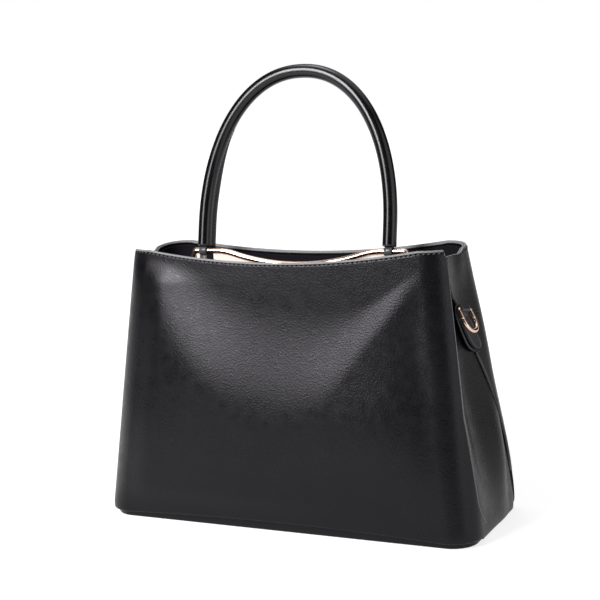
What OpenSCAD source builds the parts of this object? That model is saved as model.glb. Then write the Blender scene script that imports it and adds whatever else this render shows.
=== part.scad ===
// Structured top handle bag: a leather body with wrapped corners, pinched gussets and an inner divider,
// a rolled handle that swings on a metal bracket, and a ring on each side for a shoulder strap.
// X runs across the bag, Y from front to back, Z up. The origin is the centre of the base, on the floor.

/* [Body] */
// Width of the body at its base
base_w = 334; // [300:1:370]
// Depth of the body at its base
base_d = 126; // [112:1:140]
// Plan radius of the corners at the base
base_corner_r = 24; // [18:1:28]
// Plan radius of the rear corners at the base
base_back_r = 14; // [10:1:24]
// Width of the body at its rim
rim_w = 290.5; // [270:0.5:310]
// Depth of the body at the corners of its rim
rim_d = 71; // [66:1:82]
// Plan radius of the corners at the rim
rim_corner_r = 26; // [20:1:28]
// How far the long sides bow out at the middle of the rim
rim_bow = 4; // [1:0.5:6]
// How far the rear half of the sides bellies out at half height
side_belly = 1.3; // [0:0.1:4]

/* [Rim] */
// Height of the rim at its corners
rim_z = 226.5; // [205:0.5:250]
// How far the rim dips at the middle of the long sides
rim_sag = 9.5; // [4:0.5:14]
// How far the rim drops over the short sides
side_drop = 6.3; // [4:0.1:10]
// Radius of the front panel's top corners
ear_r = 4; // [2:0.5:6]

/* [Leather] */
// Thickness of the outer panels
panel_t = 1.8; // [1.2:0.1:2.4]
// Thickness of the gussets and facings
gusset_t = 1.2; // [0.8:0.1:1.6]
// Thickness of the lining
lining_t = 0.8; // [0.5:0.1:1.2]
// Space kept between two layers
layer_gap = 0.3; // [0.2:0.05:0.4]
// Space kept between the outer panels and the gussets and facings behind them
gusset_gap = 0.45; // [0.4:0.05:0.6]
// Depth of the facings inside the rim
facing_h = 26; // [15:1:35]

/* [Side pinch] */
// How far the sides are drawn in at mid-height
pinch_depth = 11.5; // [4:0.5:14]
// How far the sides are drawn in at the rim
pinch_rim_depth = 8; // [3:0.5:10]
// Place of the pinch's valley from front to back
pinch_y = -12; // [-16:0.5:-6]
// Depth at which the pinch runs out towards the back
pinch_rear_y = 33; // [28:0.5:36]
// The same depth at the rim
pinch_rear_rim_y = 44; // [36:0.5:48]
// How far the pinch runs on under the front panel
pinch_reach = 12; // [8:0.5:16]
// Distance from mid-depth to the front panel's side edges
front_edge_y = 38.5; // [34:0.5:41]
// The same distance at the rim
front_edge_rim_y = 27; // [25:0.5:30]
// The same distance at the floor
front_edge_foot_y = 24; // [20:0.5:30]
// Height at which the back panel's wing edge leaves the front panel
wing_top_z = 206; // [200:1:210]
// Height and depth at which that edge turns down beside the tab
wing_bend_z = 180; // [174:1:190]
wing_bend_y = -4.5; // [-10:0.5:-2]
// Height and depth at which that edge reaches the rear corner
wing_turn_z = 76; // [60:1:100]
wing_turn_y = 37; // [30:0.5:38]

/* [Base] */
// Height of the front and back panels' lower edge at the corners
hem_z = 4.9; // [3:0.1:8]
// How far the lower edge rises at the middle of the long sides
hem_arch = 3.6; // [0:0.1:5]
// How far the walls tuck in at the floor
foot_tuck = 1.5; // [0:0.1:4]
// Thickness of the base panel's floor
base_t = 1.6; // [1:0.1:2.5]
// Height of the base panel's turned-up wall
base_wall_h = 14; // [12:1:20]
// Thickness of the board in the base
board_t = 2.5; // [1.5:0.5:4]

/* [Divider] */
// Thickness of each leaf of the divider
leaf_t = 1.2; // [0.8:0.1:1.6]
// Height of the divider's top edge
divider_top_z = 203; // [190:1:206]
// Clearance between the divider and the lining at each side
divider_side_gap = 0.6; // [0.3:0.1:1]

/* [Bracket] */
// Diameter of the bracket's bar
bar_d = 5; // [4:0.25:6]
// Height of the bar's straight shoulders, where the handle turns
hinge_z = 221.5; // [216:0.5:230]
// How far the bar dips between its shoulders
bar_dip = 11.3; // [4:0.1:12]
// Distance from a shoulder's inner end to the middle of the handle's foot on it
foot_inset = 8.6; // [8:0.2:10]
// Length of each shoulder
shoulder_l = 20; // [17:0.5:24]
// Bend radius where the bar leaves a shoulder
shoulder_bend_r = 60; // [30:1:90]
// Thickness of the apron under the bar
apron_t = 1.2; // [0.8:0.1:1.2]
// How far the apron reaches into the divider
apron_seat_h = 13; // [9:1:16]
// Diameter of the rivets' shanks
rivet_d = 3; // [2:0.25:4]

/* [Handle] */
// Distance between the middles of the handle's feet
handle_span = 169.2; // [165:0.2:172]
// Height of the handle's centre line over the hinge
handle_h = 149.4; // [135:0.2:160]
// Height over the hinge at which the legs start to bend inwards
handle_leg_h = 20; // [10:1:40]
// Fullness of the arch's shoulders, 2 for an ellipse
arch_power_share = 2.15; // [2:0.05:2.6]
// Diameter of the rolled handle
handle_d = 11.5; // [10:0.1:14]
// How far the handle's sewn seam stands out at its feet
seam_h = 4; // [0:0.5:5]
// Heights over the hinge between which the seam sinks into the handle
seam_low_h = 50; // [20:1:60]
seam_high_h = 125; // [80:1:140]
// Thickness of the handle's cover
cover_t = 1.4; // [1:0.1:2]
// Backward lean of the handle at rest in degrees
handle_lean_angle = 11.5; // [0:0.5:20]
// How far the handle has slid along the bar from its middle
handle_slide = -2.4; // [-2.6:0.2:2.6]
// Width of the loops round the bar
loop_w = 7; // [5:0.5:8]
// Thickness of the loops' strap
loop_t = 1.4; // [1:0.1:1.6]
// Length of the sewn tail under each loop
tail_l = 11; // [8:0.5:12]
// Radial running clearance of the loops and rings
run_gap = 0.05; // [0.03:0.01:0.08]

/* [Ring and tab] */
// Diameter of the ring's wire
ring_wire_d = 3.6; // [3:0.1:4]
// Width of the ring between the middles of its arms
ring_w = 18; // [17:0.2:20]
// Length of the ring's straight arms
ring_arm_l = 10; // [6:0.5:14]
// How far the ring's bar dips towards the back in degrees
ring_tilt_angle = 8; // [0:0.5:12]
// How far the ring stands off the tab at rest in degrees
ring_lift_angle = 27.5; // [5:0.5:35]
// Height of the ring's bar
tab_z = 177.5; // [170:0.5:184]
// Length of the tab from the bar to its tip
tab_l = 37; // [34:1:44]
// Place of the tab's top from front to back
tab_y = -5.5; // [-7:0.5:-3]
// How far back the tab runs from its top to its tip
tab_run = 16.5; // [12:0.5:18]
// Width of the backing patch
patch_w = 15; // [14:0.5:18]
// Width of the strap where it holds the ring
strap_w = 12; // [10:0.5:13]
// Width of the strap near its tip
strap_tip_w = 8.8; // [7:0.2:11]
// Thickness of the patch and of the strap
tab_t = 1.3; // [1:0.1:1.6]

/* [Hidden] */

leather = [0.13, 0.13, 0.14];
cloth = [0.10, 0.09, 0.12];
rose_gold = [0.90, 0.68, 0.56];
board_grey = [0.45, 0.45, 0.43];
rope_white = [0.85, 0.83, 0.78];

cut = 1;
round_fn = 64;
gusset_d = panel_t + gusset_gap;
lining_d = gusset_d + gusset_t + layer_gap;
base_in_d = lining_d + gusset_t;
lap = 6;

function mix(a, b, t) = a + (b - a) * t;
function clamp01(t) = min(1, max(0, t));
function ease(t) = let (c = clamp01(t)) c * c * (3 - 2 * c);
function unit(v) = v / norm(v);

// The body's wall. A place round the wall is s: 0 at the front's middle, 1 to 2 round the right front corner,
// 3 at the right side's middle, 4 to 5 round the back corner, 6 at the back's middle, negative on the left.
tuck_h = 12;
pinch_rise_share = 0.62;
pinch_fall_share = 0.72;
pinch_rear_share = 0.6;
edge_turn_share = 0.43;
edge_turn_end_share = 0.96;
edge_foot_share = 0.13;
back_turn_share = 0.2;
back_turn_end_share = 0.57;

function rise(z) = clamp01(z / rim_z);
function tuck(z) = foot_tuck * pow(1 - clamp01(z / tuck_h), 2);
function half_w(z, d) = mix(base_w, rim_w, rise(z)) / 2 - tuck(z) - d;
function half_d(z, d) = mix(base_d, rim_d, rise(z)) / 2 - tuck(z) - d;
function front_r(z) = mix(base_corner_r, rim_corner_r, rise(z));
function back_r(z) =
    mix(base_back_r, front_r(z), ease((rise(z) - back_turn_share) / (back_turn_end_share - back_turn_share)));
function corner_r(z, d, back) = (back ? back_r(z) : front_r(z)) - d;
function bow(z, x_share) = rim_bow * rise(z) * (1 - x_share * x_share);
function belly(y, z) = side_belly * 4 * rise(z) * (1 - rise(z)) * ease((y / half_d(z, 0) + 1) / 2);

// Distance of the front panel's side edge from mid-depth at height z.
function edge_y(z) =
    let (t = rise(z), turn = clamp01((t - edge_turn_share) / (edge_turn_end_share - edge_turn_share)))
    mix(front_edge_foot_y, mix(front_edge_y, front_edge_rim_y, turn), ease(t / edge_foot_share));

function pinch_at(z) =
    let (t = rise(z), fall = (t - pinch_fall_share) / (1 - pinch_fall_share))
    mix(pinch_depth, pinch_rim_depth, ease(fall)) * ease(t / pinch_rise_share);
function pinch(y, z) =
    let (up = ease((rise(z) - pinch_rear_share) / (1 - pinch_rear_share)),
         rear = mix(pinch_rear_y, pinch_rear_rim_y, up),
         fore = pinch_y + edge_y(z) + pinch_reach,
         t = y < pinch_y ? (pinch_y - y) / fore : (y - pinch_y) / (rear - pinch_y))
    pinch_at(z) * (1 - ease(t));

// Half of the wall folded to the front: q is 0 to 3 from the long side's middle to the short side's middle.
function fold_x(q, z, d, back) =
    let (w = half_w(z, d), r = corner_r(z, d, back))
    q <= 1 ? q * (w - r) : q <= 2 ? w - r + r * sin((q - 1) * 90) : w;
function fold_y(q, z, d, back) =
    let (h = half_d(z, d), r = corner_r(z, d, back))
    q <= 1 ? h : q <= 2 ? h - r + r * cos((q - 1) * 90) : (3 - q) * (h - r);

// The wall's point at place s and height z, d inside the outer face. The front panel's wall isn't drawn in.
function plain_wall(s, z, d) =
    let (a = abs(s), back = a > 3, q = back ? 6 - a : a, x = fold_x(q, z, d, back),
         depth = fold_y(q, z, d, back) + bow(z, x / half_w(z, d)), y = back ? depth : -depth)
    [(s < 0 ? -1 : 1) * (x + belly(y, z)), y, z];
function wall(s, z, d) =
    let (p = plain_wall(s, z, d))
    [p[0] - (s < 0 ? -1 : 1) * pinch(p[1], z), p[1], z];

// Place s of a given y on the right side.
function place_of(y, z, d) =
    let (h = half_d(z, d), r = corner_r(z, d, y > 0), far = abs(y) - (h - r),
         q = far <= 0 ? 3 - abs(y) / (h - r) : 1 + acos(min(1, far / r)) / 90)
    y <= 0 ? q : 6 - q;

// The right side's point at depth y and height z, d inside the outer face.
function side_point(y, z, d) = wall(place_of(y, z, d), z, d);

// Rim heights.
wing_rise_share = 3.1;
wing_rise_end_share = 4.8;
function long_rim(q) = rim_z - rim_sag * (1 - pow(min(q, 1), 2));
function wing_rim(s) =
    let (a = abs(s), up = ease((a - wing_rise_share) / (wing_rise_end_share - wing_rise_share)))
    long_rim(a <= 3 ? 3 : 6 - a) - side_drop * (1 - up);

// Sheets: a grid of points on the outer face and one on the inner face, closed at the edges.
function grid_faces(cols, rows, wrap) =
    let (w = cols + (wrap ? 0 : 1), inner = w * (rows + 1), o = function (i, j) (i % w) + j * w)
    concat(
        [for (j = [0:rows - 1], i = [0:cols - 1], k = [0:3])
            let (a = o(i, j), b = o(i + 1, j), c = o(i + 1, j + 1), d = o(i, j + 1))
            k == 0 ? [a, d, c] : k == 1 ? [a, c, b] :
            k == 2 ? [inner + a, inner + c, inner + d] : [inner + a, inner + b, inner + c]],
        [for (i = [0:cols - 1], k = [0:3])
            let (a = o(i, 0), b = o(i + 1, 0), d = o(i, rows), c = o(i + 1, rows))
            k == 0 ? [a, b, inner + b] : k == 1 ? [a, inner + b, inner + a] :
            k == 2 ? [c, d, inner + d] : [c, inner + d, inner + c]],
        wrap ? [] : [for (j = [0:rows - 1], k = [0:3])
            let (a = o(0, j), d = o(0, j + 1), b = o(cols, j), c = o(cols, j + 1))
            k == 0 ? [d, a, inner + a] : k == 1 ? [d, inner + a, inner + d] :
            k == 2 ? [b, c, inner + c] : [b, inner + c, inner + b]]);

// at(u, v, d) gives a point for each share u across and v up, d inside the outer face.
module sheet(at, u_shares, v_shares, d, t, wrap = false) {
    cols = len(u_shares) - (wrap ? 0 : 1);
    rows = len(v_shares) - 1;
    pts = [for (depth = [d, d + t], v = v_shares, u = u_shares) at(u, v, depth)];
    polyhedron(points = pts, faces = grid_faces(cols, rows, wrap), convexity = 8);
}

// A body of stacked rings whose first and last ring are closed by flat fans about their middle points.
module stack(rings) {
    n = len(rings[0]);
    last = len(rings) - 1;
    first = n * (last + 1);
    middle = function (ring) [for (axis = [0:2]) [for (p = ring) p[axis]] * [for (p = ring) 1 / n]];
    pts = concat([for (ring = rings, p = ring) p], [middle(rings[0]), middle(rings[last])]);
    sides = [for (j = [0:last - 1], i = [0:n - 1], k = [0:1])
        let (a = j * n + i, b = j * n + (i + 1) % n, c = b + n, e = a + n)
        k == 0 ? [a, e, c] : [a, c, b]];
    fans = [for (i = [0:n - 1], k = [0:1])
        let (a = i, b = (i + 1) % n)
        k == 0 ? [a, b, first] : [last * n + b, last * n + a, first + 1]];
    polyhedron(points = pts, faces = concat(sides, fans), convexity = 8);
}

up_shares = [0, 0.015, 0.03, 0.055, 0.1, 0.2, 0.3, 0.4, 0.5, 0.6, 0.7, 0.8, 0.9, 1];
ring_steps = [for (k = [-47:48]) k / 8];

// Outer panels.
front_u_shares = concat([-1, -0.985, -0.965], [for (k = [-15:15]) k / 16], [0.965, 0.985, 1]);
function hem(q) = hem_z + hem_arch * (1 - pow(min(q, 1), 2));
function front_point(u, v, d) =
    let (level = v * rim_z, s = u * place_of(-edge_y(level), level, 0), q = abs(s),
         from_edge = (1 - abs(u)) * edge_run, turn = 1 - clamp01(from_edge / ear_r),
         top = long_rim(q) - ear_r * (1 - sqrt(1 - turn * turn)), low = hem(q))
    plain_wall(s, mix(low, top, v), d);
edge_run = rim_w / 2 + rim_corner_r;

module front_panel() {
    color(leather) sheet(function (u, v, d) front_point(u, v, d), front_u_shares, up_shares, 0, panel_t);
}

// The wing's edge runs from the front panel's edge near the rim, down and back, and round the rear corner.
wing_foot_share = 4.5;
wing_top_y = -edge_y(wing_top_z) + layer_gap;
function wing_front(z) = place_of(-edge_y(z) + layer_gap, z, 0);
function wing_line_y(z) =
    z >= wing_bend_z ?
    mix(wing_top_y, wing_bend_y, clamp01((wing_top_z - z) / (wing_top_z - wing_bend_z))) :
    mix(wing_bend_y, wing_turn_y, clamp01((wing_bend_z - z) / (wing_bend_z - wing_turn_z)));
function wing_edge(z) =
    z >= wing_turn_z ? place_of(wing_line_y(z), z, 0) :
    mix(wing_foot_share, place_of(wing_turn_y, wing_turn_z, 0), z / wing_turn_z);

// Columns run up the wall at a fixed share from the back's middle to the wing's front edge.
function wing_place(share, z) = mix(6, wing_front(z), share);
function wing_low(share, low, high, halvings) =
    let (middle = (low + high) / 2)
    halvings == 0 ? middle :
    wing_edge(middle) > wing_place(share, middle) ? wing_low(share, middle, high, halvings - 1) :
    wing_low(share, low, middle, halvings - 1);

halvings = 14;
half_u_shares = concat(
    [for (k = [0:6]) 0.22 * k / 6],
    [for (k = [1:9]) 0.22 + 0.25 * k / 9],
    [for (k = [1:15]) 0.47 + 0.53 * k / 15]);
back_u_shares = concat([for (k = [len(half_u_shares) - 1:-1:1]) -half_u_shares[k]], half_u_shares);
function back_point(u, v, d) =
    let (share = abs(u), foot = wing_place(share, hem_z),
         low = foot >= wing_edge(hem_z) ? hem(max(0, 6 - foot)) :
             wing_low(share, hem_z, wing_top_z, halvings),
         z = mix(low, wing_rim(wing_place(share, rim_z)), v), s = wing_place(share, z))
    wall(u < 0 ? -s : s, z, d);

module back_panel() {
    color(leather) sheet(function (u, v, d) back_point(-u, v, d), back_u_shares, up_shares, 0, panel_t);
}

// Gussets, lapped under the front panel's edges and under the wings.
facing_shy = 0.8;
gusset_top_z = wing_rim(3) - facing_shy - facing_h - layer_gap;
gusset_foot_z = 1;
gusset_rear_share = 4.7;
gusset_u_shares = [for (k = [0:16]) k / 16];
function gusset_rear(z) =
    z >= wing_turn_z ? place_of(edge_y(z) + lap, z, 0) :
    mix(gusset_rear_share, place_of(edge_y(wing_turn_z) + lap, wing_turn_z, 0), z / wing_turn_z);
function gusset_point(u, v, d) =
    let (z = mix(gusset_foot_z, gusset_top_z, v))
    wall(mix(place_of(-edge_y(z) - lap, z, 0), gusset_rear(z), u), z, d);

module gusset_right() {
    color(leather)
        sheet(function (u, v, d) gusset_point(u, v, d), gusset_u_shares, up_shares, gusset_d, gusset_t);
}
module gusset_left() mirror([1, 0, 0]) gusset_right();

// Base: a panel with a turned-up wall, a board in it and the lining's floor.
base_up_shares = [0, 0.3, 0.6, 1];
base_down_shares = [1, 0.6, 0.3];
module base_panel() {
    color(leather) stack(concat(
        [for (h = base_up_shares) [for (s = ring_steps) wall(s, h * base_wall_h, lining_d)]],
        [for (h = base_down_shares) [for (s = ring_steps) wall(s, h * base_wall_h, base_in_d)]],
        [[for (s = ring_steps) wall(s, base_t, base_in_d)]]));
}

module slab(z0, z1) stack([for (z = [z0, z1]) [for (s = ring_steps) wall(s, z, base_in_d + layer_gap)]]);

floor_z = base_t + board_t;
module base_board() color(board_grey) slab(base_t, floor_z);
module lining_base() color(cloth) slab(floor_z, floor_z + lining_t);

// Facings inside the rim, and the lining below them.
facing_v_shares = [0, 0.5, 1];
function inner_rim(s) = abs(s) <= split_share ? long_rim(abs(s)) - facing_shy : wing_rim(s) - facing_shy;
split_share = 1.45;
split_gap_share = 0.02;
module facing_front() {
    color(leather) sheet(
        function (u, v, d)
            wall(u * (split_share - split_gap_share), inner_rim(u * split_share) - facing_h * (1 - v), d),
        [for (k = [-12:12]) k / 12], facing_v_shares, gusset_d, gusset_t);
}
module facing_back() {
    color(leather) sheet(
        function (u, v, d)
            let (s0 = mix(6, split_share + split_gap_share, abs(u)), s = u < 0 ? s0 : -s0)
            wall(s, inner_rim(s0 + split_gap_share) - facing_h * (1 - v), d),
        [for (k = [-36:36]) k / 36], facing_v_shares, gusset_d, gusset_t);
}

lining_v_shares = [0, 0.03, 0.08, 0.2, 0.35, 0.5, 0.65, 0.8, 0.92, 1];
lining_top_shy = 4;
seam_gap_share = 0.01;
function lining_z(s, v) =
    mix(base_wall_h + layer_gap, wing_rim(abs(s) <= 3 ? 6 - abs(s) : s) - lining_top_shy, v);
module lining_front() {
    color(cloth) sheet(function (u, v, d) wall(u * (3 - seam_gap_share), lining_z(u * 3, v), d),
        [for (k = [-20:20]) k / 20], lining_v_shares, lining_d, lining_t);
}
module lining_back() {
    color(cloth) sheet(
        function (u, v, d)
            let (s0 = mix(6, 3 + seam_gap_share, abs(u)), s = u < 0 ? s0 : -s0)
            wall(s, lining_z(s0, v), d),
        [for (k = [-20:20]) k / 20], lining_v_shares, lining_d, lining_t);
}

// The divider's two leaves hold the bracket's apron between them.
leaf_y = apron_t / 2 + layer_gap / 2;
divider_low_z = floor_z + lining_t;
divider_z_shares = [0, 0.04, 0.1, 0.2, 0.3, 0.4, 0.5, 0.6, 0.7, 0.8, 0.9, 1];
function divider_x(z) = side_point(-leaf_y - leaf_t, z, base_in_d)[0] - divider_side_gap;
function divider_outline() =
    let (zs = [for (v = divider_z_shares) mix(divider_low_z, divider_top_z, v)], n = len(zs))
    concat([for (z = zs) [divider_x(z), z]], [for (k = [n - 1:-1:0]) [-divider_x(zs[k]), zs[k]]]);

module upright(y0, t) translate([0, y0 + t, 0]) rotate([90, 0, 0]) linear_extrude(height = t) children();
module leaf(y0) {
    difference() {
        upright(y0, leaf_t) polygon(divider_outline());
        rivet_places() rotate([90, 0, 0]) cylinder(h = 4 * leaf_t + apron_t + cut, d = rivet_d + 2 * run_gap,
            center = true, $fn = round_fn);
    }
}
module divider_front() color(cloth) leaf(-leaf_y - leaf_t);
module divider_back() color(cloth) leaf(leaf_y);

// The bracket: a round bar with two straight shoulders, a dip between them, an apron and end legs.
bar_r = bar_d / 2;
shoulder_span = handle_span - 2 * foot_inset;
bend_angle = 2 * atan(bar_dip / (shoulder_span / 2));
bend_sum = shoulder_span / 2 / sin(bend_angle);
dip_r = bend_sum - shoulder_bend_r;
bend_x = shoulder_span / 2 - shoulder_bend_r * sin(bend_angle);
shoulder_end_x = shoulder_span / 2 + shoulder_l;
leg_out_angle = 18;
leg_l = hinge_z - divider_top_z - bar_r - layer_gap;
loop_slot_gap = 3;
slot_depth = tail_l + loop_t;
rivet_count = 4;
rivet_pitch = 44;
rivet_z = divider_top_z - apron_seat_h / 2;

// Height of the bar's centre line: straight shoulders, two bends and the dip between them.
function bar_line(x) =
    let (a = abs(x))
    a >= shoulder_span / 2 ? hinge_z :
    a >= bend_x ? hinge_z - shoulder_bend_r + sqrt(pow(shoulder_bend_r, 2) - pow(shoulder_span / 2 - a, 2)) :
    hinge_z - bar_dip + dip_r - sqrt(dip_r * dip_r - a * a);

// The bent stretch is a tube between the shoulders, a hair thinner than they are, with its ends inside them.
// The ball where each shoulder meets its leg is a hair wider.
bend_step = 0.1;
bend_seat = 2;
bend_sides = 20;
bend_shares = [for (k = [24:-1:-24]) k / 24];
function bend_ring(x) =
    let (near = bend_seat / 2, out = unit([bar_line(x - near) - bar_line(x + near), 2 * near]))
    [for (k = [0:bend_sides - 1])
        let (a = k * 360 / bend_sides, r = bar_r - bend_step)
        [x + r * cos(a) * out[0], r * sin(a), bar_line(x) + r * cos(a) * out[1]]];
module bent_bar() stack([for (u = bend_shares) bend_ring(u * (shoulder_span / 2 + bend_seat))]);

apron_x = shoulder_end_x - bar_r / 2;
apron_steps = [for (k = [-20:20]) k / 20];
apron_low_z = divider_top_z - apron_seat_h;
module apron() {
    outline = concat([for (u = apron_steps) [u * apron_x, bar_line(u * apron_x)]],
        [[apron_x, apron_low_z], [-apron_x, apron_low_z]]);
    difference() {
        upright(-apron_t / 2, apron_t) polygon(outline);
        for (side = [-1, 1]) translate([side * handle_span / 2, 0, hinge_z])
            cube([loop_w + 2 * loop_slot_gap, apron_t + cut, 2 * slot_depth], center = true);
    }
}
module rivet_places() for (k = [0:rivet_count - 1])
    translate([(k - (rivet_count - 1) / 2) * rivet_pitch, 0, rivet_z]) children();

module handle_bracket() {
    color(rose_gold) difference() {
        union() {
            for (side = [-1, 1]) {
                translate([side * (shoulder_span + shoulder_l) / 2, 0, hinge_z]) rotate([0, 90, 0])
                    cylinder(h = shoulder_l, r = bar_r, center = true, $fn = round_fn);
                translate([side * shoulder_end_x, 0, hinge_z]) {
                    sphere(r = bar_r + bend_step, $fn = round_fn);
                    rotate([0, -side * leg_out_angle, 0]) translate([0, 0, -leg_l])
                        cylinder(h = leg_l, r = bar_r, $fn = round_fn);
                }
            }
            bent_bar();
            apron();
        }
        rivet_places() rotate([90, 0, 0])
            cylinder(h = apron_t + cut, d = rivet_d + 2 * run_gap, center = true, $fn = round_fn);
    }
}

rivet_head_d = 2 * rivet_d;
rivet_head_t = rivet_d / 3;
module bracket_rivets() {
    grip = 2 * (leaf_y + leaf_t);
    color(rose_gold) rivet_places() rotate([90, 0, 0]) {
        cylinder(h = grip, d = rivet_d, center = true, $fn = round_fn);
        for (side = [0, 1]) mirror([0, 0, side]) translate([0, 0, grip / 2])
            cylinder(h = rivet_head_t, d = rivet_head_d, $fn = round_fn);
    }
}

// The handle leans about the bar's shoulders. Its upright legs run into a full, rounded arch.
foot_h = bar_r + run_gap + loop_t + layer_gap;
core_gap = 0.1;
core_d = handle_d - 2 * cover_t - 2 * core_gap;
tongue_l = 9;
module leaning() translate([handle_slide, 0, hinge_z]) rotate([-handle_lean_angle, 0, 0]) children();

// The arch's ring number k, from the right foot (0) over the arc (1 to arc_count + 1) to the left foot.
arc_count = 36;
cover_sides = 24;
core_sides = 12;
seam_turn_share = 3 / 8;
seam_width_share = 1 / 16;
function arch_angle(k) = 180 * clamp01((k - 1) / arc_count);
function arch_middle(k, from) =
    let (a = arch_angle(k), side = a > 90 ? -1 : 1,
         low = k < 1 || k > arc_count + 1 ? handle_leg_h - from : 0)
    [side * handle_span / 2 * pow(abs(cos(a)), 2 / arch_power_share),
     handle_leg_h - low + (handle_h - handle_leg_h) * pow(sin(a), 2 / arch_power_share)];
function arch_out(k) =
    let (a = arch_angle(k), side = a > 90 ? -1 : 1, e = 2 - 2 / arch_power_share)
    unit([side * pow(abs(cos(a)), e) * (handle_h - handle_leg_h), pow(sin(a), e) * handle_span / 2]);
// turn_share goes round the tube from its outer side towards the back.
function arch_point(turn_share, k, r, from) =
    let (m = arch_middle(k, from), out = r * cos(turn_share * 360) * arch_out(k))
    [m[0] + out[0], r * sin(turn_share * 360), m[1] + out[1]];
function seam_at(turn_share, k) =
    let (sink = ease((arch_middle(k, foot_h)[1] - seam_low_h) / (seam_high_h - seam_low_h)))
    seam_h * (1 - sink) * pow(1 - clamp01(abs(turn_share - seam_turn_share) / seam_width_share), 2);
arch_steps = [for (k = [0:arc_count + 2]) k];
module handle_cover() {
    color(leather) leaning() sheet(
        function (u, v, d) arch_point(u, v, handle_d / 2 - d + (d > 0 ? 0 : seam_at(u, v)), foot_h),
        [for (k = [0:cover_sides - 1]) k / cover_sides], arch_steps, 0, cover_t, wrap = true);
}
module handle_core() {
    color(rope_white) leaning() stack([for (v = arch_steps) [for (k = [0:core_sides - 1])
        arch_point(k / core_sides, v, core_d / 2, foot_h + tongue_l + layer_gap)]]);
}

loop_out_r = bar_r + run_gap + loop_t;
module handle_loops() {
    color(leather) leaning() for (side = [-1, 1]) translate([side * handle_span / 2, 0, 0]) difference() {
        union() {
            rotate([0, 90, 0]) cylinder(h = loop_w, r = loop_out_r, center = true, $fn = round_fn);
            translate([-loop_w / 2, -loop_t, -tail_l]) cube([loop_w, 2 * loop_t, tail_l]);
            translate([-loop_w / 2, -loop_t, 0]) cube([loop_w, 2 * loop_t, foot_h + tongue_l]);
        }
        rotate([0, 90, 0]) cylinder(h = loop_w + cut, r = bar_r + run_gap, center = true, $fn = round_fn);
    }
}

// The tab on the wing: patch and strap follow the wall, and the loop at the strap's top holds the ring.
wire_r = ring_wire_d / 2;
patch_d = -layer_gap - tab_t;
strap_d = patch_d - layer_gap - tab_t;
loop_bore_r = wire_r + run_gap;
loop_seat = 0.5;
ring_stand = -strap_d + loop_bore_r + loop_seat;
tab_up = 4;
tip_share = 0.25;
patch_margin = (patch_w - strap_tip_w) / 2;
tab_slant = atan(tab_run / tab_l);
function tab_centre_y(z) = tab_y + (tab_z - z) * tab_run / tab_l;
function tab_point(u, v, w, top, tip, d) =
    let (z = mix(tip, top, v), end = min(v, 1 - v) / tip_share,
         half = w / 2 * sqrt(1 - pow(1 - min(1, max(tip_least_share, end)), 2)))
    side_point(tab_centre_y(z) + u * half / cos(tab_slant), z, d);
tip_least_share = 0.03;
tab_u_shares = [-1, -0.7, -0.35, 0, 0.35, 0.7, 1];
tab_v_shares = [0, 0.02, 0.06, 0.12, 0.2, 0.3, 0.42, 0.55, 0.68, 0.78, 0.86, 0.93, 0.98, 1];
module tab_patch_right() {
    color(leather) sheet(
        function (u, v, d) tab_point(u, v, patch_w, tab_z + tab_up, tab_z - tab_l, d),
        tab_u_shares, tab_v_shares, patch_d, tab_t);
}
module tab_patch_left() mirror([1, 0, 0]) tab_patch_right();

// Frame of the ring's bar: out of the wall, along the bar to the back, and up the wall across the bar.
nudge = 1;
ring_seat = side_point(tab_y, tab_z, 0);
along_dir = unit(side_point(tab_y + nudge, tab_z, 0) - side_point(tab_y - nudge, tab_z, 0));
wall_dir = side_point(tab_y, tab_z + nudge, 0) - side_point(tab_y, tab_z - nudge, 0);
out_dir = unit(cross(along_dir, wall_dir));
bar_dir = cos(ring_tilt_angle) * along_dir - sin(ring_tilt_angle) * cross(out_dir, along_dir);
up_dir = cross(out_dir, bar_dir);
ring_centre = ring_seat + out_dir * ring_stand;
module at_ring() multmatrix([
    [out_dir[0], bar_dir[0], up_dir[0], ring_centre[0]],
    [out_dir[1], bar_dir[1], up_dir[1], ring_centre[1]],
    [out_dir[2], bar_dir[2], up_dir[2], ring_centre[2]],
    [0, 0, 0, 1]]) children();

strap_top = 1;
module tab_strap_right() {
    color(leather) difference() {
        union() {
            sheet(function (u, v, d)
                let (z = mix(tab_z - tab_l + patch_margin, tab_z + strap_top, v),
                     end = min(1, max(tip_least_share, v / tip_share)),
                     half = mix(strap_tip_w, strap_w, v) / 2 * sqrt(1 - pow(1 - end, 2)))
                side_point(tab_centre_y(z) + u * half / cos(tab_slant), z, d),
                tab_u_shares, tab_v_shares, strap_d, tab_t);
            at_ring() rotate([90, 0, 0])
                cylinder(h = strap_w, r = loop_bore_r + tab_t, center = true, $fn = round_fn);
        }
        at_ring() rotate([90, 0, 0])
            cylinder(h = strap_w + cut, r = loop_bore_r, center = true, $fn = round_fn);
    }
}
module tab_strap_left() mirror([1, 0, 0]) tab_strap_right();

module d_ring_right() {
    half = ring_w / 2;
    color(rose_gold) at_ring() rotate([0, -ring_lift_angle, 0]) {
        rotate([90, 0, 0]) cylinder(h = ring_w, r = wire_r, center = true, $fn = round_fn);
        for (side = [-1, 1]) translate([0, side * half, 0]) {
            sphere(r = wire_r, $fn = round_fn);
            translate([0, 0, -ring_arm_l]) cylinder(h = ring_arm_l, r = wire_r, $fn = round_fn);
        }
        translate([0, 0, -ring_arm_l]) rotate([0, 90, 0]) rotate([0, 0, -90])
            rotate_extrude(angle = 180, $fn = 2 * round_fn)
                translate([half, 0]) circle(r = wire_r, $fn = round_fn);
    }
}
module d_ring_left() mirror([1, 0, 0]) d_ring_right();

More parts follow.
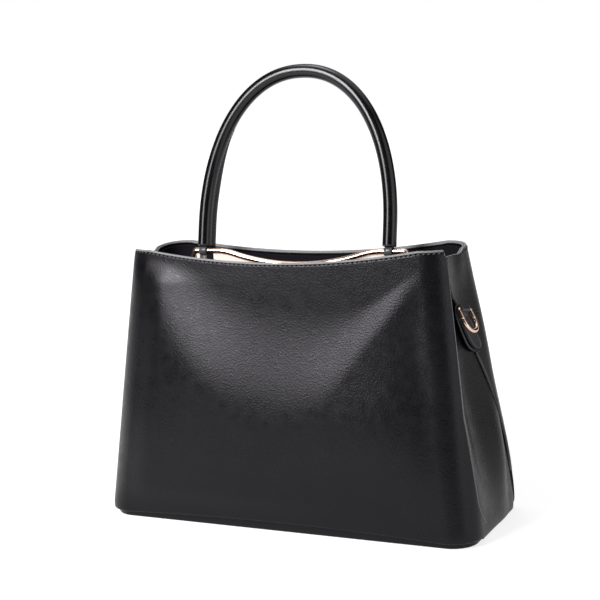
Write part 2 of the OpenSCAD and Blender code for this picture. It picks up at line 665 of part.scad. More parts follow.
front_panel();
back_panel();
gusset_left();
gusset_right();
base_panel();
base_board();
facing_front();
facing_back();
lining_front();
lining_back();
lining_base();
divider_front();
divider_back();
handle_bracket();
bracket_rivets();
tab_patch_left();
tab_patch_right();
tab_strap_left();
tab_strap_right();
handle_cover();
handle_core();
handle_loops();
d_ring_left();
d_ring_right();
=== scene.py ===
# %% [markdown]
# A structured handbag of black pebbled leather, dressed for a studio picture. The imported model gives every
# solid its place. This lesson covers those solids with leather that has grain, painted edges and stitches,
# and with polished metal, and it works out each surface as one formula on a grid of two parameters.

# %% Load the frame
import math
import bpy
import numpy as np
from mathutils import Matrix


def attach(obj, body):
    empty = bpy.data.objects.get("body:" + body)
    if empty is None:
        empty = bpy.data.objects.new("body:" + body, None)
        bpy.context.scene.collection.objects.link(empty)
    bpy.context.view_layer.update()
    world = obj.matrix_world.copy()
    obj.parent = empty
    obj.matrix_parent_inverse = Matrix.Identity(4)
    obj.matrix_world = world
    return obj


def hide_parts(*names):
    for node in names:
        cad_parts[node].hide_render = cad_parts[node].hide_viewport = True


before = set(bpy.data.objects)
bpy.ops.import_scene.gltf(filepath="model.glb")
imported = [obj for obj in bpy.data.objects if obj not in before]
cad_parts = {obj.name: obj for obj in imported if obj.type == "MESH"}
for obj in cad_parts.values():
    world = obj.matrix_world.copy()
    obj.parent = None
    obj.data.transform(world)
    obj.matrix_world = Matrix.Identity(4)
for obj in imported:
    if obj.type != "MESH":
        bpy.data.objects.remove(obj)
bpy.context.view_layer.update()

# %% [markdown]
# The camera comes first, because everything else is judged through it. The photograph was taken a little
# above the bag's rim and well round to its right front corner, with a long lens and a slight roll. A
# constraint could aim the camera, but it can't roll it by a measured angle, so the camera's three axes are
# worked out and written into its matrix.

# %% Camera
AZIMUTH, ELEVATION, ROLL = (math.radians(a) for a in (25.95, 8.63, -2.87))
EYE = (0.4768, -0.9775, 0.3457)
LENS_MM, SENSOR_MM, FAR_CLIP = 79.7, 36.0, 50.0


def camera_axes(azimuth, elevation, roll):
    """Forward is (-sin a cos e, cos a cos e, -sin e) and right is (cos a, sin a, 0).

    Up is right x forward, and then right and up both turn by the roll."""
    forward = np.array([-math.sin(azimuth) * math.cos(elevation), math.cos(azimuth) * math.cos(elevation),
                        -math.sin(elevation)])
    right = np.array([math.cos(azimuth), math.sin(azimuth), 0.0])
    up = np.cross(right, forward)
    c, s = math.cos(roll), math.sin(roll)
    return right * c + up * s, up * c - right * s, forward


def stand(thing, right, up, back, at):
    """Put an object into the scene at a place, with its own X, Y and Z axes along right, up and back."""
    bpy.context.scene.collection.objects.link(thing)
    rows = [[right[i], up[i], back[i], at[i]] for i in range(3)]
    thing.matrix_world = Matrix(rows + [[0, 0, 0, 1]])


right, up, forward = camera_axes(AZIMUTH, ELEVATION, ROLL)
lens = bpy.data.cameras.new("camera")
lens.lens, lens.sensor_width, lens.clip_end = LENS_MM, SENSOR_MM, FAR_CLIP
camera = bpy.data.objects.new("camera", lens)
stand(camera, right, up, -forward, EYE)
bpy.context.scene.camera = camera
bpy.context.scene.view_settings.view_transform = "Standard"
print("camera at", EYE, "lens", LENS_MM)

# %% [markdown]
# The body of the bag is one wall that leans inwards, with round corners and a pinch in each short side. It
# could be a box that is bevelled and pulled about by hand. A formula is used, because every layer of the
# bag, from the outer leather to the lining, is then the same formula at another depth. A place on the wall
# is s, which runs 0 to 6 from the middle of the front, round the right side, to the middle of the back, and
# is negative on the left. Lengths are in millimetres until a mesh is made.

# %% Sizes of the bag
BASE_W, BASE_D, BASE_R, BASE_BACK_R = 334.0, 126.0, 24.0, 14.0
RIM_W, RIM_D, RIM_R, RIM_BOW, SIDE_BELLY = 290.5, 71.0, 26.0, 4.0, 1.3
RIM_Z, RIM_SAG, SIDE_DROP, EAR_R = 226.5, 9.5, 6.3, 4.0
FOOT_TUCK, FOOT_TUCK_H = 1.5, 12.0
EDGE_FOOT_Y, EDGE_LOW_Y, EDGE_RIM_Y = 24.0, 38.5, 27.0
PINCH_Y, PINCH_DEEP, PINCH_RIM = -12.0, 11.5, 8.0
PINCH_REAR_LOW, PINCH_REAR_HIGH = 33.0, 44.0
PUFF, PUFF_Y, PUFF_WIDE, PUFF_Z, PUFF_RUN = 1.1, 3, 8, 190, 25
PANEL_T, GUSSET_T, LINING_T, GUSSET_GAP, LAYER_GAP = 1.8, 1.2, 0.8, 0.45, 0.3
GUSSET_D = PANEL_T + GUSSET_GAP
LINING_D = GUSSET_D + GUSSET_T + LAYER_GAP
BASE_IN_D = LINING_D + GUSSET_T
print("base", BASE_W, "by", BASE_D, "mm, rim", RIM_Z, "mm up, layers end", round(BASE_IN_D, 2), "mm in")


# %% Mixing and easing
def mix(a, b, t):
    """The point a share t of the way from a to b."""
    return a + (b - a) * t


def clip01(t):
    """t held between 0 and 1."""
    return np.clip(t, 0.0, 1.0)


def ease(t):
    """A soft step from 0 to 1, level at both ends: t squared times (3 less twice t)."""
    c = clip01(t)
    return c * c * (3 - 2 * c)


print("a quarter of the way, the soft step is at", ease(0.25))


# %% How the wall changes with height
def rise(z):
    """Height as a share of the rim's height."""
    return clip01(z / RIM_Z)


def foot_tuck(z):
    """The last few millimetres turn in: the tuck times the square of what is left to the floor."""
    return FOOT_TUCK * (1 - clip01(z / FOOT_TUCK_H)) ** 2


def half_w(z, d):
    """Half the width, which shrinks evenly from base to rim."""
    return mix(BASE_W, RIM_W, rise(z)) / 2 - foot_tuck(z) - d


def half_d(z, d):
    """Half the depth from front to back, which shrinks evenly from base to rim."""
    return mix(BASE_D, RIM_D, rise(z)) / 2 - foot_tuck(z) - d


def corner_r(z, d, back):
    """Front corners swell slowly with height; rear corners start tight and join them at mid-height."""
    front = mix(BASE_R, RIM_R, rise(z))
    return np.where(back, mix(BASE_BACK_R, front, ease((rise(z) - 0.2) / 0.37)), front) - d


def edge_y(z):
    """Distance of the front panel's side edge from mid-depth: more just over the foot, less at the rim."""
    t = rise(z)
    return mix(EDGE_FOOT_Y, mix(EDGE_LOW_Y, EDGE_RIM_Y, clip01((t - 0.43) / 0.53)), ease(t / 0.13))


def pinch(y, z):
    """How far the short side is drawn in: deepest at PINCH_Y, running out towards both corners.

    Near the rim the stiff facing rounds it out again by a millimetre."""
    t = rise(z)
    deep = mix(PINCH_DEEP, PINCH_RIM, ease((t - 0.72) / 0.28)) * ease(t / 0.62)
    rear = mix(PINCH_REAR_LOW, PINCH_REAR_HIGH, ease((t - 0.6) / 0.4))
    away = np.where(y < PINCH_Y, (PINCH_Y - y) / edge_y(z), (y - PINCH_Y) / (rear - PINCH_Y))
    puff = PUFF * np.exp(-((y - PUFF_Y) / PUFF_WIDE) ** 2) * ease((z - PUFF_Z) / PUFF_RUN)
    return deep * (1 - ease(away)) - puff


print("half the width at the foot and the rim:", half_w(0.0, 0).round(2), half_w(RIM_Z, 0).round(2))


# %% The wall of the bag
def plain_wall(s, z, d):
    """A rounded rectangle at height z, d inside the outer face, with long sides that bow out at the rim."""
    s, z = np.broadcast_arrays(np.asarray(s, float), np.asarray(z, float))
    a = np.abs(s)
    back = a > 3
    q = np.where(back, 6 - a, a)
    w, h, r = half_w(z, d), half_d(z, d), corner_r(z, d, back)
    turn = np.radians(clip01(q - 1) * 90)
    x = np.where(q <= 1, q * (w - r), np.where(q <= 2, w - r + r * np.sin(turn), w))
    depth = np.where(q <= 1, h, np.where(q <= 2, h - r + r * np.cos(turn), (3 - q) * (h - r)))
    depth = depth + RIM_BOW * rise(z) * (1 - (x / w) ** 2)
    y = np.where(back, depth, -depth)
    x = x + SIDE_BELLY * 4 * rise(z) * (1 - rise(z)) * ease((y / half_d(z, 0) + 1) / 2)
    return np.stack([np.where(s < 0, -x, x), y, z], -1)


def wall(s, z, d):
    """The plain wall with its short sides pinched in."""
    p = plain_wall(s, z, d)
    p[..., 0] -= np.where(np.asarray(s) < 0, -1, 1) * pinch(p[..., 1], p[..., 2])
    return p


def place_of(y, z, d):
    """The place s on the right side that has depth y: the plain wall's straight or arc, solved for s."""
    y, z = np.broadcast_arrays(np.asarray(y, float), np.asarray(z, float))
    h, r = half_d(z, d), corner_r(z, d, y > 0)
    far = np.abs(y) - (h - r)
    q = np.where(far <= 0, 3 - np.abs(y) / (h - r), 1 + np.degrees(np.arccos(np.clip(far / r, -1, 1))) / 90)
    return np.where(y <= 0, q, 6 - q)


def side_point(y, z, d):
    """The point of the right side at depth y and height z."""
    return wall(place_of(y, z, d), z, d)


def signed(u, s):
    """The place s on the right where u is negative, and on the left elsewhere."""
    return np.where(u < 0, s, -s)


print("front corner of the rim:", wall(1.5, RIM_Z, 0).round(1))

# %% [markdown]
# A leather panel is a thin closed shell: a face, a lining side, and an edge that was sanded round and
# painted. Solidify and Bevel could thicken a sheet, but they can't say how far a point is from the cut
# edge. So the shell is built from two grids and a strip of half circles. Rows of the grid crowd towards the
# edge, so that the roundness and the line of stitches have faces to live in, and each point keeps its
# distance from the edge, which the paint follows later.

# %% Rows, rings and borders
def unit(v):
    """Each vector divided by its length."""
    return v / np.maximum(np.linalg.norm(v, axis=-1, keepdims=True), 1e-9)


def spaced(ends, count, length):
    """Shares 0 to 1 along a length: the listed distances from each end, and even steps between them."""
    low = np.asarray(ends, float) / length
    middle = np.linspace(low[-1], 1 - low[-1], count)[1:-1]
    return np.concatenate([low, middle, 1 - low[::-1]])


def bands(rings, wrap=False):
    """Four-sided faces from each ring of point numbers to the next, and with wrap from last to first."""
    ahead = np.roll(rings, -1, 1)
    if wrap:
        rings, ahead = np.concatenate([rings, rings[:1]]), np.concatenate([ahead, ahead[:1]])
    return np.stack([rings[:-1], ahead[:-1], ahead[1:], rings[1:]], -1).reshape(-1, 4)


def halves(quads):
    """Each four-sided face as two triangles."""
    return np.concatenate([quads[:, [0, 1, 2]], quads[:, [0, 2, 3]]])


def border(rows, cols):
    """Row and column numbers of a grid's border points, once round."""
    row = [np.zeros(cols - 1), np.arange(rows - 1), np.full(cols - 1, rows - 1), np.arange(rows - 1, 0, -1)]
    col = [np.arange(cols - 1), np.full(rows - 1, cols - 1), np.arange(cols - 1, 0, -1), np.zeros(rows - 1)]
    return np.concatenate(row).astype(int), np.concatenate(col).astype(int)


def edge_distance(grid):
    """Length along the grid lines from each point to the nearest border."""
    du = np.pad(np.cumsum(np.linalg.norm(np.diff(grid, axis=1), axis=-1), 1), ((0, 0), (1, 0)))
    dv = np.pad(np.cumsum(np.linalg.norm(np.diff(grid, axis=0), axis=-1), 0), ((1, 0), (0, 0)))
    return np.minimum(np.minimum(du, du[:, -1:] - du), np.minimum(dv, dv[-1:] - dv)).ravel()


print("rows of a piece 10 mm long, close at both ends:", spaced([0, 1], 4, 10).round(2))

# %% A thin shell with a rounded edge
ROUND_STEPS = 6
NO_EDGE = 9.0
# Below the rim the side edges' paint widens as painted highlight; the hem gets none and stays dark as painted
# shade.
SHADED_HEM_Z, RIM_PAINT_Z, EDGE_SHEEN_WIDER = 13.0, 208.0, 2.0
ACROSS_FIRST = [0, 3, 2, 1]


def shell(at, us, vs, d, t):
    """Outer grid at depth d and inner grid at d + t, joined by half circles of radius t / 2 round the border.

    The border is first drawn back by t / 2, so the finished edge is where the solid's edge is."""
    u, v = np.meshgrid(us, vs)
    outer, inner = at(u, v, d), at(u, v, d + t)
    rows, cols = u.shape
    j, i = border(rows, cols)
    thick = unit(outer - inner)
    away = np.zeros_like(outer)
    away[:, 0] += unit(outer[:, 0] - outer[:, 1])
    away[:, -1] += unit(outer[:, -1] - outer[:, -2])
    away[0] += unit(outer[0] - outer[1])
    away[-1] += unit(outer[-1] - outer[-2])
    away = away - thick * (away * thick).sum(-1, keepdims=True)
    away[j, i] = unit(away[j, i])
    outer[j, i] -= away[j, i] * t / 2
    inner[j, i] -= away[j, i] * t / 2
    middle, arm = (outer[j, i] + inner[j, i]) / 2, (outer[j, i] - inner[j, i]) / 2
    turns = np.pi * np.arange(1, ROUND_STEPS) / ROUND_STEPS
    strip = np.concatenate([middle + arm * math.cos(a) + away[j, i] * t / 2 * math.sin(a) for a in turns])
    points = np.concatenate([outer.reshape(-1, 3), inner.reshape(-1, 3), strip])
    n, first, loop = rows * cols, 2 * rows * cols, len(j)
    a = (np.arange(rows - 1)[:, None] * cols + np.arange(cols - 1)).ravel()
    face = np.stack([a, a + 1, a + cols + 1, a + cols], -1)
    strips = first + np.arange(len(strip)).reshape(-1, loop)
    sides = bands(np.concatenate([[j * cols + i], strips, [n + j * cols + i]]))[:, ACROSS_FIRST]
    edge = edge_distance(outer)
    return (points, np.concatenate([face, n + face[:, ::-1], sides]),
            np.concatenate([edge, edge, np.zeros(len(strip))]))


def painted(piece):
    """The same shell with its paint widened threefold on the side edges, as painted highlight of the shine on
    their rounded edge, and none on the hem, which stays dark as painted shade at the foot.
    """
    points, faces, edge = piece
    z = points[:, 2]
    wider = 1 + EDGE_SHEEN_WIDER * ease((RIM_PAINT_Z - z) / 20)
    return points, faces, np.where(z < SHADED_HEM_Z, NO_EDGE, edge / wider)


def mirrored(points):
    """The same points on the bag's other side."""
    return points * np.array([-1.0, 1.0, 1.0])


print("rounded edges have", ROUND_STEPS, "faces across")

# %% [markdown]
# A piece is put into Blender from arrays of points and faces. Normals could be recalculated in edit mode,
# but one sum does it here: if the enclosed volume comes out negative, the faces point inwards, so they are
# turned round. Every piece then names its finish, what carries it, and which solids it stands for.

# %% Put a piece into the scene
finishes = {}


def facing_out(points, faces):
    """Faces turned so that the enclosed volume, a sixth of the sum of a . (b x c), is positive."""
    total = 0.0
    for k in range(1, faces.shape[1] - 1):
        a, b, c = points[faces[:, 0]], points[faces[:, k]], points[faces[:, k + 1]]
        total += (a * np.cross(b, c)).sum()
    return faces if total > 0 else faces[:, ::-1]


def joined(parts):
    """Several (points, faces, edge) shells as one set of arrays."""
    points, faces, edges, start = [], [], [], 0
    for p, f, e in parts:
        faces += (facing_out(p, f) + start).tolist()
        points.append(p)
        edges.append(e)
        start += len(p)
    return np.concatenate(points), faces, np.concatenate(edges)


def point_normals(points, faces):
    """At each point the sum, over its four-sided faces a b c d, of (c - a) x (d - b), made one long."""
    a, b, c, d = (points[faces[:, k]] for k in range(4))
    across = np.cross(c - a, d - b)
    total = np.zeros_like(points)
    for k in range(4):
        np.add.at(total, faces[:, k], across)
    return unit(total)


def put(name, parts, finish, body="bag", stands_for=(), shaded_as=None):
    """A mesh object at the origin, made of closed shells given in millimetres.

    With shaded_as, a second set of the same shells, light falls on it as it would on those."""
    points, faces, edge = joined(parts)
    mesh = bpy.data.meshes.new(name)
    mesh.from_pydata((points / 1000).tolist(), [], faces)
    mesh.attributes.new("edge_mm", "FLOAT", "POINT").data.foreach_set("value", edge.astype(np.float32))
    mesh.polygons.foreach_set("use_smooth", np.ones(len(faces), bool))
    mesh.materials.append(finishes[finish])
    mesh.update()
    if shaded_as is not None:
        normals = point_normals(joined(shaded_as)[0], np.array(faces))
        mesh.normals_split_custom_set_from_vertices(normals.tolist())
    piece = bpy.data.objects.new(name, mesh)
    bpy.context.scene.collection.objects.link(piece)
    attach(piece, body)
    if stands_for:
        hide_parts(*stands_for)
    print(name, len(points), "points", len(faces), "faces")


def put_pair(name, node, piece, finish, body="bag"):
    """A right-hand piece and its mirror image; the name, node and body say {} where the side's word goes."""
    points, faces, edge = piece
    for side, placed in (("right", points), ("left", mirrored(points))):
        put(name.format(side), [(placed, faces, edge)], finish, body.format(side),
            stands_for=[node.format(side)])


# %% [markdown]
# Pebbled leather shows as thousands of small cushions with creases between them. A photograph of leather
# could be wrapped on as an image, but it would stretch at the corners, and it is tied to one picture. Here
# a Voronoi texture gives the cushions as bump, a larger noise breaks up the polish, and the distance from
# the edge lays the grey edge paint over the leather's rim; its light grey is partly painted highlight, the
# shine of the rounded edge. All of it reads places in metres, so the grain has one size on every piece.

# %% Nodes and their inputs
def add(tree, kind, values=None, **options):
    """A new node: options are its own settings, and values go to its inputs."""
    node = tree.nodes.new("ShaderNode" + kind)
    for option, value in options.items():
        setattr(node, option, value)
    feed(tree, node, values or {})
    return node


def feed(tree, node, values):
    """Each input, by name or number, takes a plain value, or a link where the value is an output."""
    for socket, value in values.items():
        if isinstance(value, bpy.types.NodeSocket):
            tree.links.new(value, node.inputs[socket])
        else:
            node.inputs[socket].default_value = value


def new_finish(name):
    """A new material, kept by its name, with its node tree and its shader."""
    finish = bpy.data.materials.new(name)
    finish.use_nodes = True
    finishes[name] = finish
    return finish.node_tree, finish.node_tree.nodes["Principled BSDF"]


def place(tree):
    """The place on the piece, in metres from the origin."""
    return add(tree, "TexCoord").outputs["Object"]


def ramp(tree, value, start, end, low=0.0, high=1.0, kind="LINEAR"):
    """low where value is at start, high where it is at end, and held there beyond."""
    values = {"From Min": start, "From Max": end, "To Min": low, "To Max": high, "Value": value}
    return add(tree, "MapRange", values, interpolation_type=kind).outputs["Result"]


def toned(tree, factor, low, high):
    """A colour that goes from low to high as the factor goes from 0 to 1."""
    return add(tree, "Mix", {"A": low, "B": high, "Factor": factor}, data_type="RGBA").outputs["Result"]


print("nodes are made by", add.__name__, "and linked by", feed.__name__)


# %% Drift and grain
def varied(tree, scale, low, high):
    """A number that drifts between low and high, in patches of about one scale-th of a metre."""
    noise = add(tree, "TexNoise", {"Scale": scale, "Detail": 4.0, "Vector": place(tree)})
    return ramp(tree, noise.outputs["Fac"], 0.3, 0.7, low, high)


def grain(tree, scale, depth, strength):
    """Bump with a dome on each of many scattered points, scale of them to the metre, and creases between."""
    cells = add(tree, "TexVoronoi", feature="SMOOTH_F1")
    feed(tree, cells, {"Scale": scale, "Smoothness": 0.5, "Vector": place(tree)})
    dome = ramp(tree, cells.outputs["Distance"], 0.7, 0.0, kind="SMOOTHSTEP")
    return add(tree, "Bump", {"Strength": strength, "Distance": depth, "Height": dome}).outputs["Normal"]


print("a grain of 680 to the metre has pebbles of", round(1000 / 680, 1), "mm")

# %% Leather
PAINT_FADE, PAINT_ROUGH = 0.35, 0.38
SHINE, SHINE_TINT = 0.27, (0.97, 0.93, 1.0, 1)


def leather(name, skin, light, paint, rough, pebbles, depth, strength, paint_mm):
    """Grained skin, with edge paint where the edge is nearer than paint_mm, its grey partly painted highlight.
    """
    tree, shader = new_finish(name)
    edge = add(tree, "Attribute", attribute_name="edge_mm").outputs["Fac"]
    cover = ramp(tree, edge, paint_mm, paint_mm + PAINT_FADE, kind="SMOOTHSTEP")
    tone = toned(tree, varied(tree, 35, 0, 1), (*skin, 1), (*light, 1))
    polish = varied(tree, 120, rough - 0.04, rough + 0.05)
    feed(tree, shader, {
        "Base Color": toned(tree, cover, (*paint, 1), tone),
        "Roughness": add(tree, "Mix", {"A": PAINT_ROUGH, "B": polish, "Factor": cover}).outputs["Result"],
        "Normal": grain(tree, pebbles, depth, strength),
        "Specular IOR Level": SHINE,
        "Specular Tint": SHINE_TINT})
    return shader


BLACK, BLACK_LIGHT = (0.0026, 0.0025, 0.003), (0.004, 0.0038, 0.0046)
# Edge paint colours: partly the edges' own paint, partly painted highlight of the shine on their rounded edge.
leather("bag_leather", BLACK, BLACK_LIGHT, (0.20, 0.20, 0.206), 0.30, 680, 0.0002, 0.34, 0.4)
leather("side_leather", BLACK, BLACK_LIGHT, (0.10, 0.10, 0.105), 0.30, 640, 0.0002, 0.42, 0.3)
leather("tab_leather", (0.03, 0.027, 0.034), (0.042, 0.038, 0.047), (0.095, 0.095, 0.1), 0.36, 1100,
        0.00015, 0.4, 0.5)
smooth = leather("handle_leather", (0.002, 0.002, 0.0023), (0.003, 0.003, 0.0034), (0.07, 0.07, 0.074), 0.24,
                 1500, 0.00002, 0.04, 0.5)
smooth.inputs["Coat Weight"].default_value = 0.35
smooth.inputs["Coat Roughness"].default_value = 0.12
print("leathers:", sorted(finishes))

# %% [markdown]
# The other finishes are a dark lining cloth with a fine weave, waxed thread, polished metal with faint
# cloudiness, pressed board under the lining, and the rope core inside the handle. Cloth and thread could
# be modelled strand by strand, but at this size only the rhythm of the strands shows, so two crossed waves
# stand for them. Metal and board differ from that only in having no direction.

# %% Cloth, thread, metal, board and rope
def woven(name, colour, light, rough, threads, depth, specular=0.5):
    """Crossing threads: two waves at right angles, the larger of them as bump and a touch of colour."""
    tree, shader = new_finish(name)
    spot = place(tree)
    along, across = (add(tree, "TexWave", {"Scale": threads, "Distortion": 0.4, "Vector": spot},
                         bands_direction=direction).outputs["Fac"] for direction in ("X", "Z"))
    top = add(tree, "Math", {0: along, 1: across}, operation="MAXIMUM").outputs["Value"]
    bump = add(tree, "Bump", {"Strength": 0.5, "Distance": depth, "Height": top})
    feed(tree, shader, {"Base Color": toned(tree, top, (*colour, 1), (*light, 1)), "Roughness": rough,
                        "Normal": bump.outputs["Normal"], "Specular IOR Level": specular})


def speckled(name, colour, light, rough, scale, specular=0.5, metallic=0.0):
    """One colour that drifts a little towards a lighter one, with a roughness that drifts too."""
    tree, shader = new_finish(name)
    feed(tree, shader, {"Base Color": toned(tree, varied(tree, scale, 0, 1), (*colour, 1), (*light, 1)),
                        "Roughness": varied(tree, scale * 2, rough - 0.02, rough + 0.03),
                        "Specular IOR Level": specular, "Metallic": metallic})


woven("lining_cloth", (0.005, 0.004, 0.0065), (0.010, 0.008, 0.0125), 0.85, 500, 0.0001, specular=0.15)
woven("thread", (0.03, 0.03, 0.032), (0.06, 0.06, 0.063), 0.45, 1500, 0.00005)
woven("rope", (0.55, 0.52, 0.46), (0.68, 0.65, 0.6), 0.85, 300, 0.0003)
# The near-black of a needle hole is painted shade: a dark bead stands where the hole's recess is.
speckled("needle_hole_shade", (0.0008, 0.0008, 0.0009), (0.0015, 0.0015, 0.0016), 0.95, 400, specular=0.1)
speckled("board", (0.16, 0.155, 0.145), (0.22, 0.21, 0.2), 0.85, 400)
# The apron is polished metal; its near-white, not metallic, is a painted reflection of white surroundings.
speckled("apron_painted_reflection", (0.95, 0.85, 0.78), (0.97, 0.89, 0.83), 0.25, 60)
speckled("rose_gold", (0.84, 0.59, 0.46), (0.91, 0.68, 0.55), 0.22, 90, metallic=1.0)
print("finishes:", sorted(finishes))

# %% [markdown]
# Stitches are small flattened beads of thread. An Array modifier along a curve could repeat one, but its
# copies can't be turned against the line. So one shape with a few dozen faces is copied by arithmetic along
# a line on the leather, a pitch apart, each copy turned slightly, as a saddle stitch is.

# %% Stitches along a line
BEAD_SIDES, BEAD_RINGS = 6, 5
BEAD_SUNK = 0.15


def bead():
    """A unit ellipsoid along x: rings of six points between two poles, as points and triangles."""
    turn = np.arange(BEAD_SIDES) * 2 * np.pi / BEAD_SIDES
    lay = np.pi * np.arange(1, BEAD_RINGS)[:, None] / BEAD_RINGS
    rings = np.broadcast_arrays(-np.cos(lay), np.sin(lay) * np.cos(turn), np.sin(lay) * np.sin(turn))
    points = np.concatenate([np.stack(rings, -1).reshape(-1, 3), [[-1, 0, 0], [1, 0, 0]]])
    grid = np.arange(len(points) - 2).reshape(-1, BEAD_SIDES)
    ahead = np.roll(grid, -1, 1)
    pole = np.full(BEAD_SIDES, grid.size)
    caps = [np.stack([grid[0], pole, ahead[0]], -1), np.stack([grid[-1], ahead[-1], pole + 1], -1)]
    return points, np.concatenate([halves(bands(grid))] + caps)


def stitches(line, out, pitch=4.0, long=2.6, wide=1.0, high=0.7, tilt=12.0, sink=0.0, start=0.5):
    """Beads every pitch along a line of points whose outward directions are out, turned by tilt degrees."""
    run = np.concatenate([[0], np.cumsum(np.linalg.norm(np.diff(line, axis=0), axis=-1))])
    at = np.arange(pitch * start, run[-1], pitch)

    def pick(rows):
        """The rows' values at each stitch, read between the line's points."""
        return np.stack([np.interp(at, run, rows[:, k]) for k in range(3)], -1)

    middle, normal = pick(line), unit(pick(out))
    along = unit(pick(np.gradient(line, axis=0)))
    along = unit(along - normal * (along * normal).sum(-1, keepdims=True))
    across = np.cross(normal, along)
    c, s = math.cos(math.radians(tilt)), math.sin(math.radians(tilt))
    axes = np.stack([along * c + across * s, across * c - along * s, normal], 1)
    points, faces = bead()
    size = points * np.array([long / 2, wide / 2, high / 2])
    lifted = middle + normal * (high / 2 - sink - BEAD_SUNK)
    placed = np.einsum("pk,nkc->npc", size, axes) + lifted[:, None]
    faces = (faces[None] + (np.arange(len(at)) * len(points))[:, None, None]).reshape(-1, 3)
    return placed.reshape(-1, 3), faces, np.zeros(placed.size // 3)


def hole_shades(line, out):
    """The shade in the needle hole after each stitch, painted as a flat dark bead half a pitch along."""
    return stitches(line, out, long=1.7, wide=1.6, high=0.34, tilt=0.0, sink=-0.16, start=1.0)


def line_on(at, us, vs):
    """A line on a panel's outer face and the outward direction along it."""
    on = at(us, vs, 0.0)
    return on, unit(on - at(us, vs, 1.0))


print("one stitch has", len(bead()[1]), "faces")

# %% [markdown]
# The front panel wraps round both front corners and ends in a cut edge on each side. Leather this soft
# never lies flat: it is fuller low down, and it turns back along a shallow fold that runs like a wide U
# under the rim. That fold is what catches the light. It could be sculpted, but a sum of a few smooth steps
# and swells is easier to adjust against the photograph. FOLD_SHARE of it is modelled, and the light falls
# on the panel as if the whole of it were there, so that the panel stays close to the solid it covers. The
# hem gets no edge paint, so that it stays dark: painted shade at the foot.

# %% The fold on the front
EDGE_RUN, FRONT_H = RIM_W / 2 + RIM_R, 222
BORDER = [0, 1.5, 1.9, 2.3, 2.7, 3.1, 3.6, 4.6, 6.5, 9]
STITCH_IN, GROOVE_DEEP, GROOVE_W = 2.5, 0.22, 0.45
HEM_Z, HEM_RISE = 4.9, 3.6
FOLD_SHARE = 0.42
FOLD_Z, FOLD_CURVE_LEFT, FOLD_CURVE_RIGHT = 131, 0.00686, 0.00609
FOLD_WIDE, FOLD_WIDE_LEFT, FOLD_WIDE_RIGHT = 106.0, 64.0, 25.0
FOLD_HIGH, FOLD_HIGH_LEFT, FOLD_HIGH_RIGHT = 8.0, 7.0, 3.4
FOLD_SHARP_X = 90
FOOT_DENT, FOOT_DENT_H = 2.8, 58.6
FADE_SIDE, FADE_SIDE_RUN, FADE_RIM_RUN, FADE_FOOT_RUN = 4, 40, 22, 30
SWELLS = [(5.0, 75, 83, 58, 50), (5.0, -74, 93, 71, 77), (-5.0, -149, 128, 33, 43), (-5.0, 136, 136, 33, 107),
          (-1.7, -130, 189, 18, 38)]


def long_rim(q):
    """Height of the rim on a long side: it sags as 1 less q squared between the corners."""
    return RIM_Z - RIM_SAG * (1 - np.minimum(q, 1) ** 2)


def hem(q):
    """Height of the lower edge: it rises as 1 less q squared between the corners."""
    return HEM_Z + HEM_RISE * (1 - np.minimum(q, 1) ** 2)


def fold_relief(x, z):
    """Fullness below the U-shaped fold z = 131 + k x^2, then swells and dents.

    Each swell is height times exp(-((x - x0) / wide)^2 - ((z - z0) / tall)^2); a negative height is a dent.
    All of it runs out at the rim, the sides and the foot."""
    left = x < 0
    k = np.where(left, FOLD_CURVE_LEFT, FOLD_CURVE_RIGHT)
    past = (z - FOLD_Z - k * x ** 2) / np.sqrt(1 + (2 * k * x) ** 2)
    sharp = ease(np.abs(x) / FOLD_SHARP_X)
    width = mix(FOLD_WIDE, np.where(left, FOLD_WIDE_LEFT, FOLD_WIDE_RIGHT), sharp)
    height = mix(FOLD_HIGH, np.where(left, FOLD_HIGH_LEFT, FOLD_HIGH_RIGHT), sharp)
    full = height * (1 - ease(past / width + 0.5)) - FOOT_DENT * (1 - ease(z / FOOT_DENT_H))
    for size, x0, z0, wide, tall in SWELLS:
        full = full + size * np.exp(-((x - x0) / wide) ** 2 - ((z - z0) / tall) ** 2)
    full = np.maximum(full, 0)
    inside = ease((half_w(z, 0) - FADE_SIDE - np.abs(x)) / FADE_SIDE_RUN)
    under_rim = ease((RIM_Z - RIM_SAG + FADE_SIDE - z) / FADE_RIM_RUN)
    return full * under_rim * inside * ease((z - FADE_SIDE) / FADE_FOOT_RUN)


def stitch_groove(distance):
    """The thread pulls the leather in along the stitch line: a narrow bell curve across it."""
    return -GROOVE_DEEP * np.exp(-((distance - STITCH_IN) / GROOVE_W) ** 2)


print("full fold at the middle, 60 mm up:", round(float(fold_relief(0.0, 60.0)), 2), "mm")


# %% Front panel
def front_point(u, v, d, share=FOLD_SHARE):
    """Share u across and v up; the top corners are rounded ears, and share is how much of the fold is there."""
    level = v * RIM_Z
    s = u * place_of(-edge_y(level), level, 0)
    q = np.abs(s)
    turn = 1 - clip01((1 - np.abs(u)) * EDGE_RUN / EAR_R)
    top = long_rim(q) - EAR_R * (1 - np.sqrt(1 - turn ** 2))
    p = plain_wall(s, mix(hem(q), top, v), d)
    out = unit(plain_wall(s, p[..., 2], 0) - plain_wall(s, p[..., 2], 1))
    relief = share * fold_relief(p[..., 0], p[..., 2])
    relief = relief + stitch_groove((1 - v) * FRONT_H) * (d < PANEL_T)
    return p + out * relief[..., None]


def front_point_full(u, v, d):
    """The front panel with the whole of its fold."""
    return front_point(u, v, d, 1.0)


front_u = spaced(BORDER, 150, 2 * EDGE_RUN) * 2 - 1
front_v = spaced(BORDER, 80, FRONT_H)
put("front_panel_skin", [painted(shell(front_point, front_u, front_v, 0, PANEL_T))], "bag_leather",
    stands_for=["front_panel"], shaded_as=[shell(front_point_full, front_u, front_v, 0, PANEL_T)])

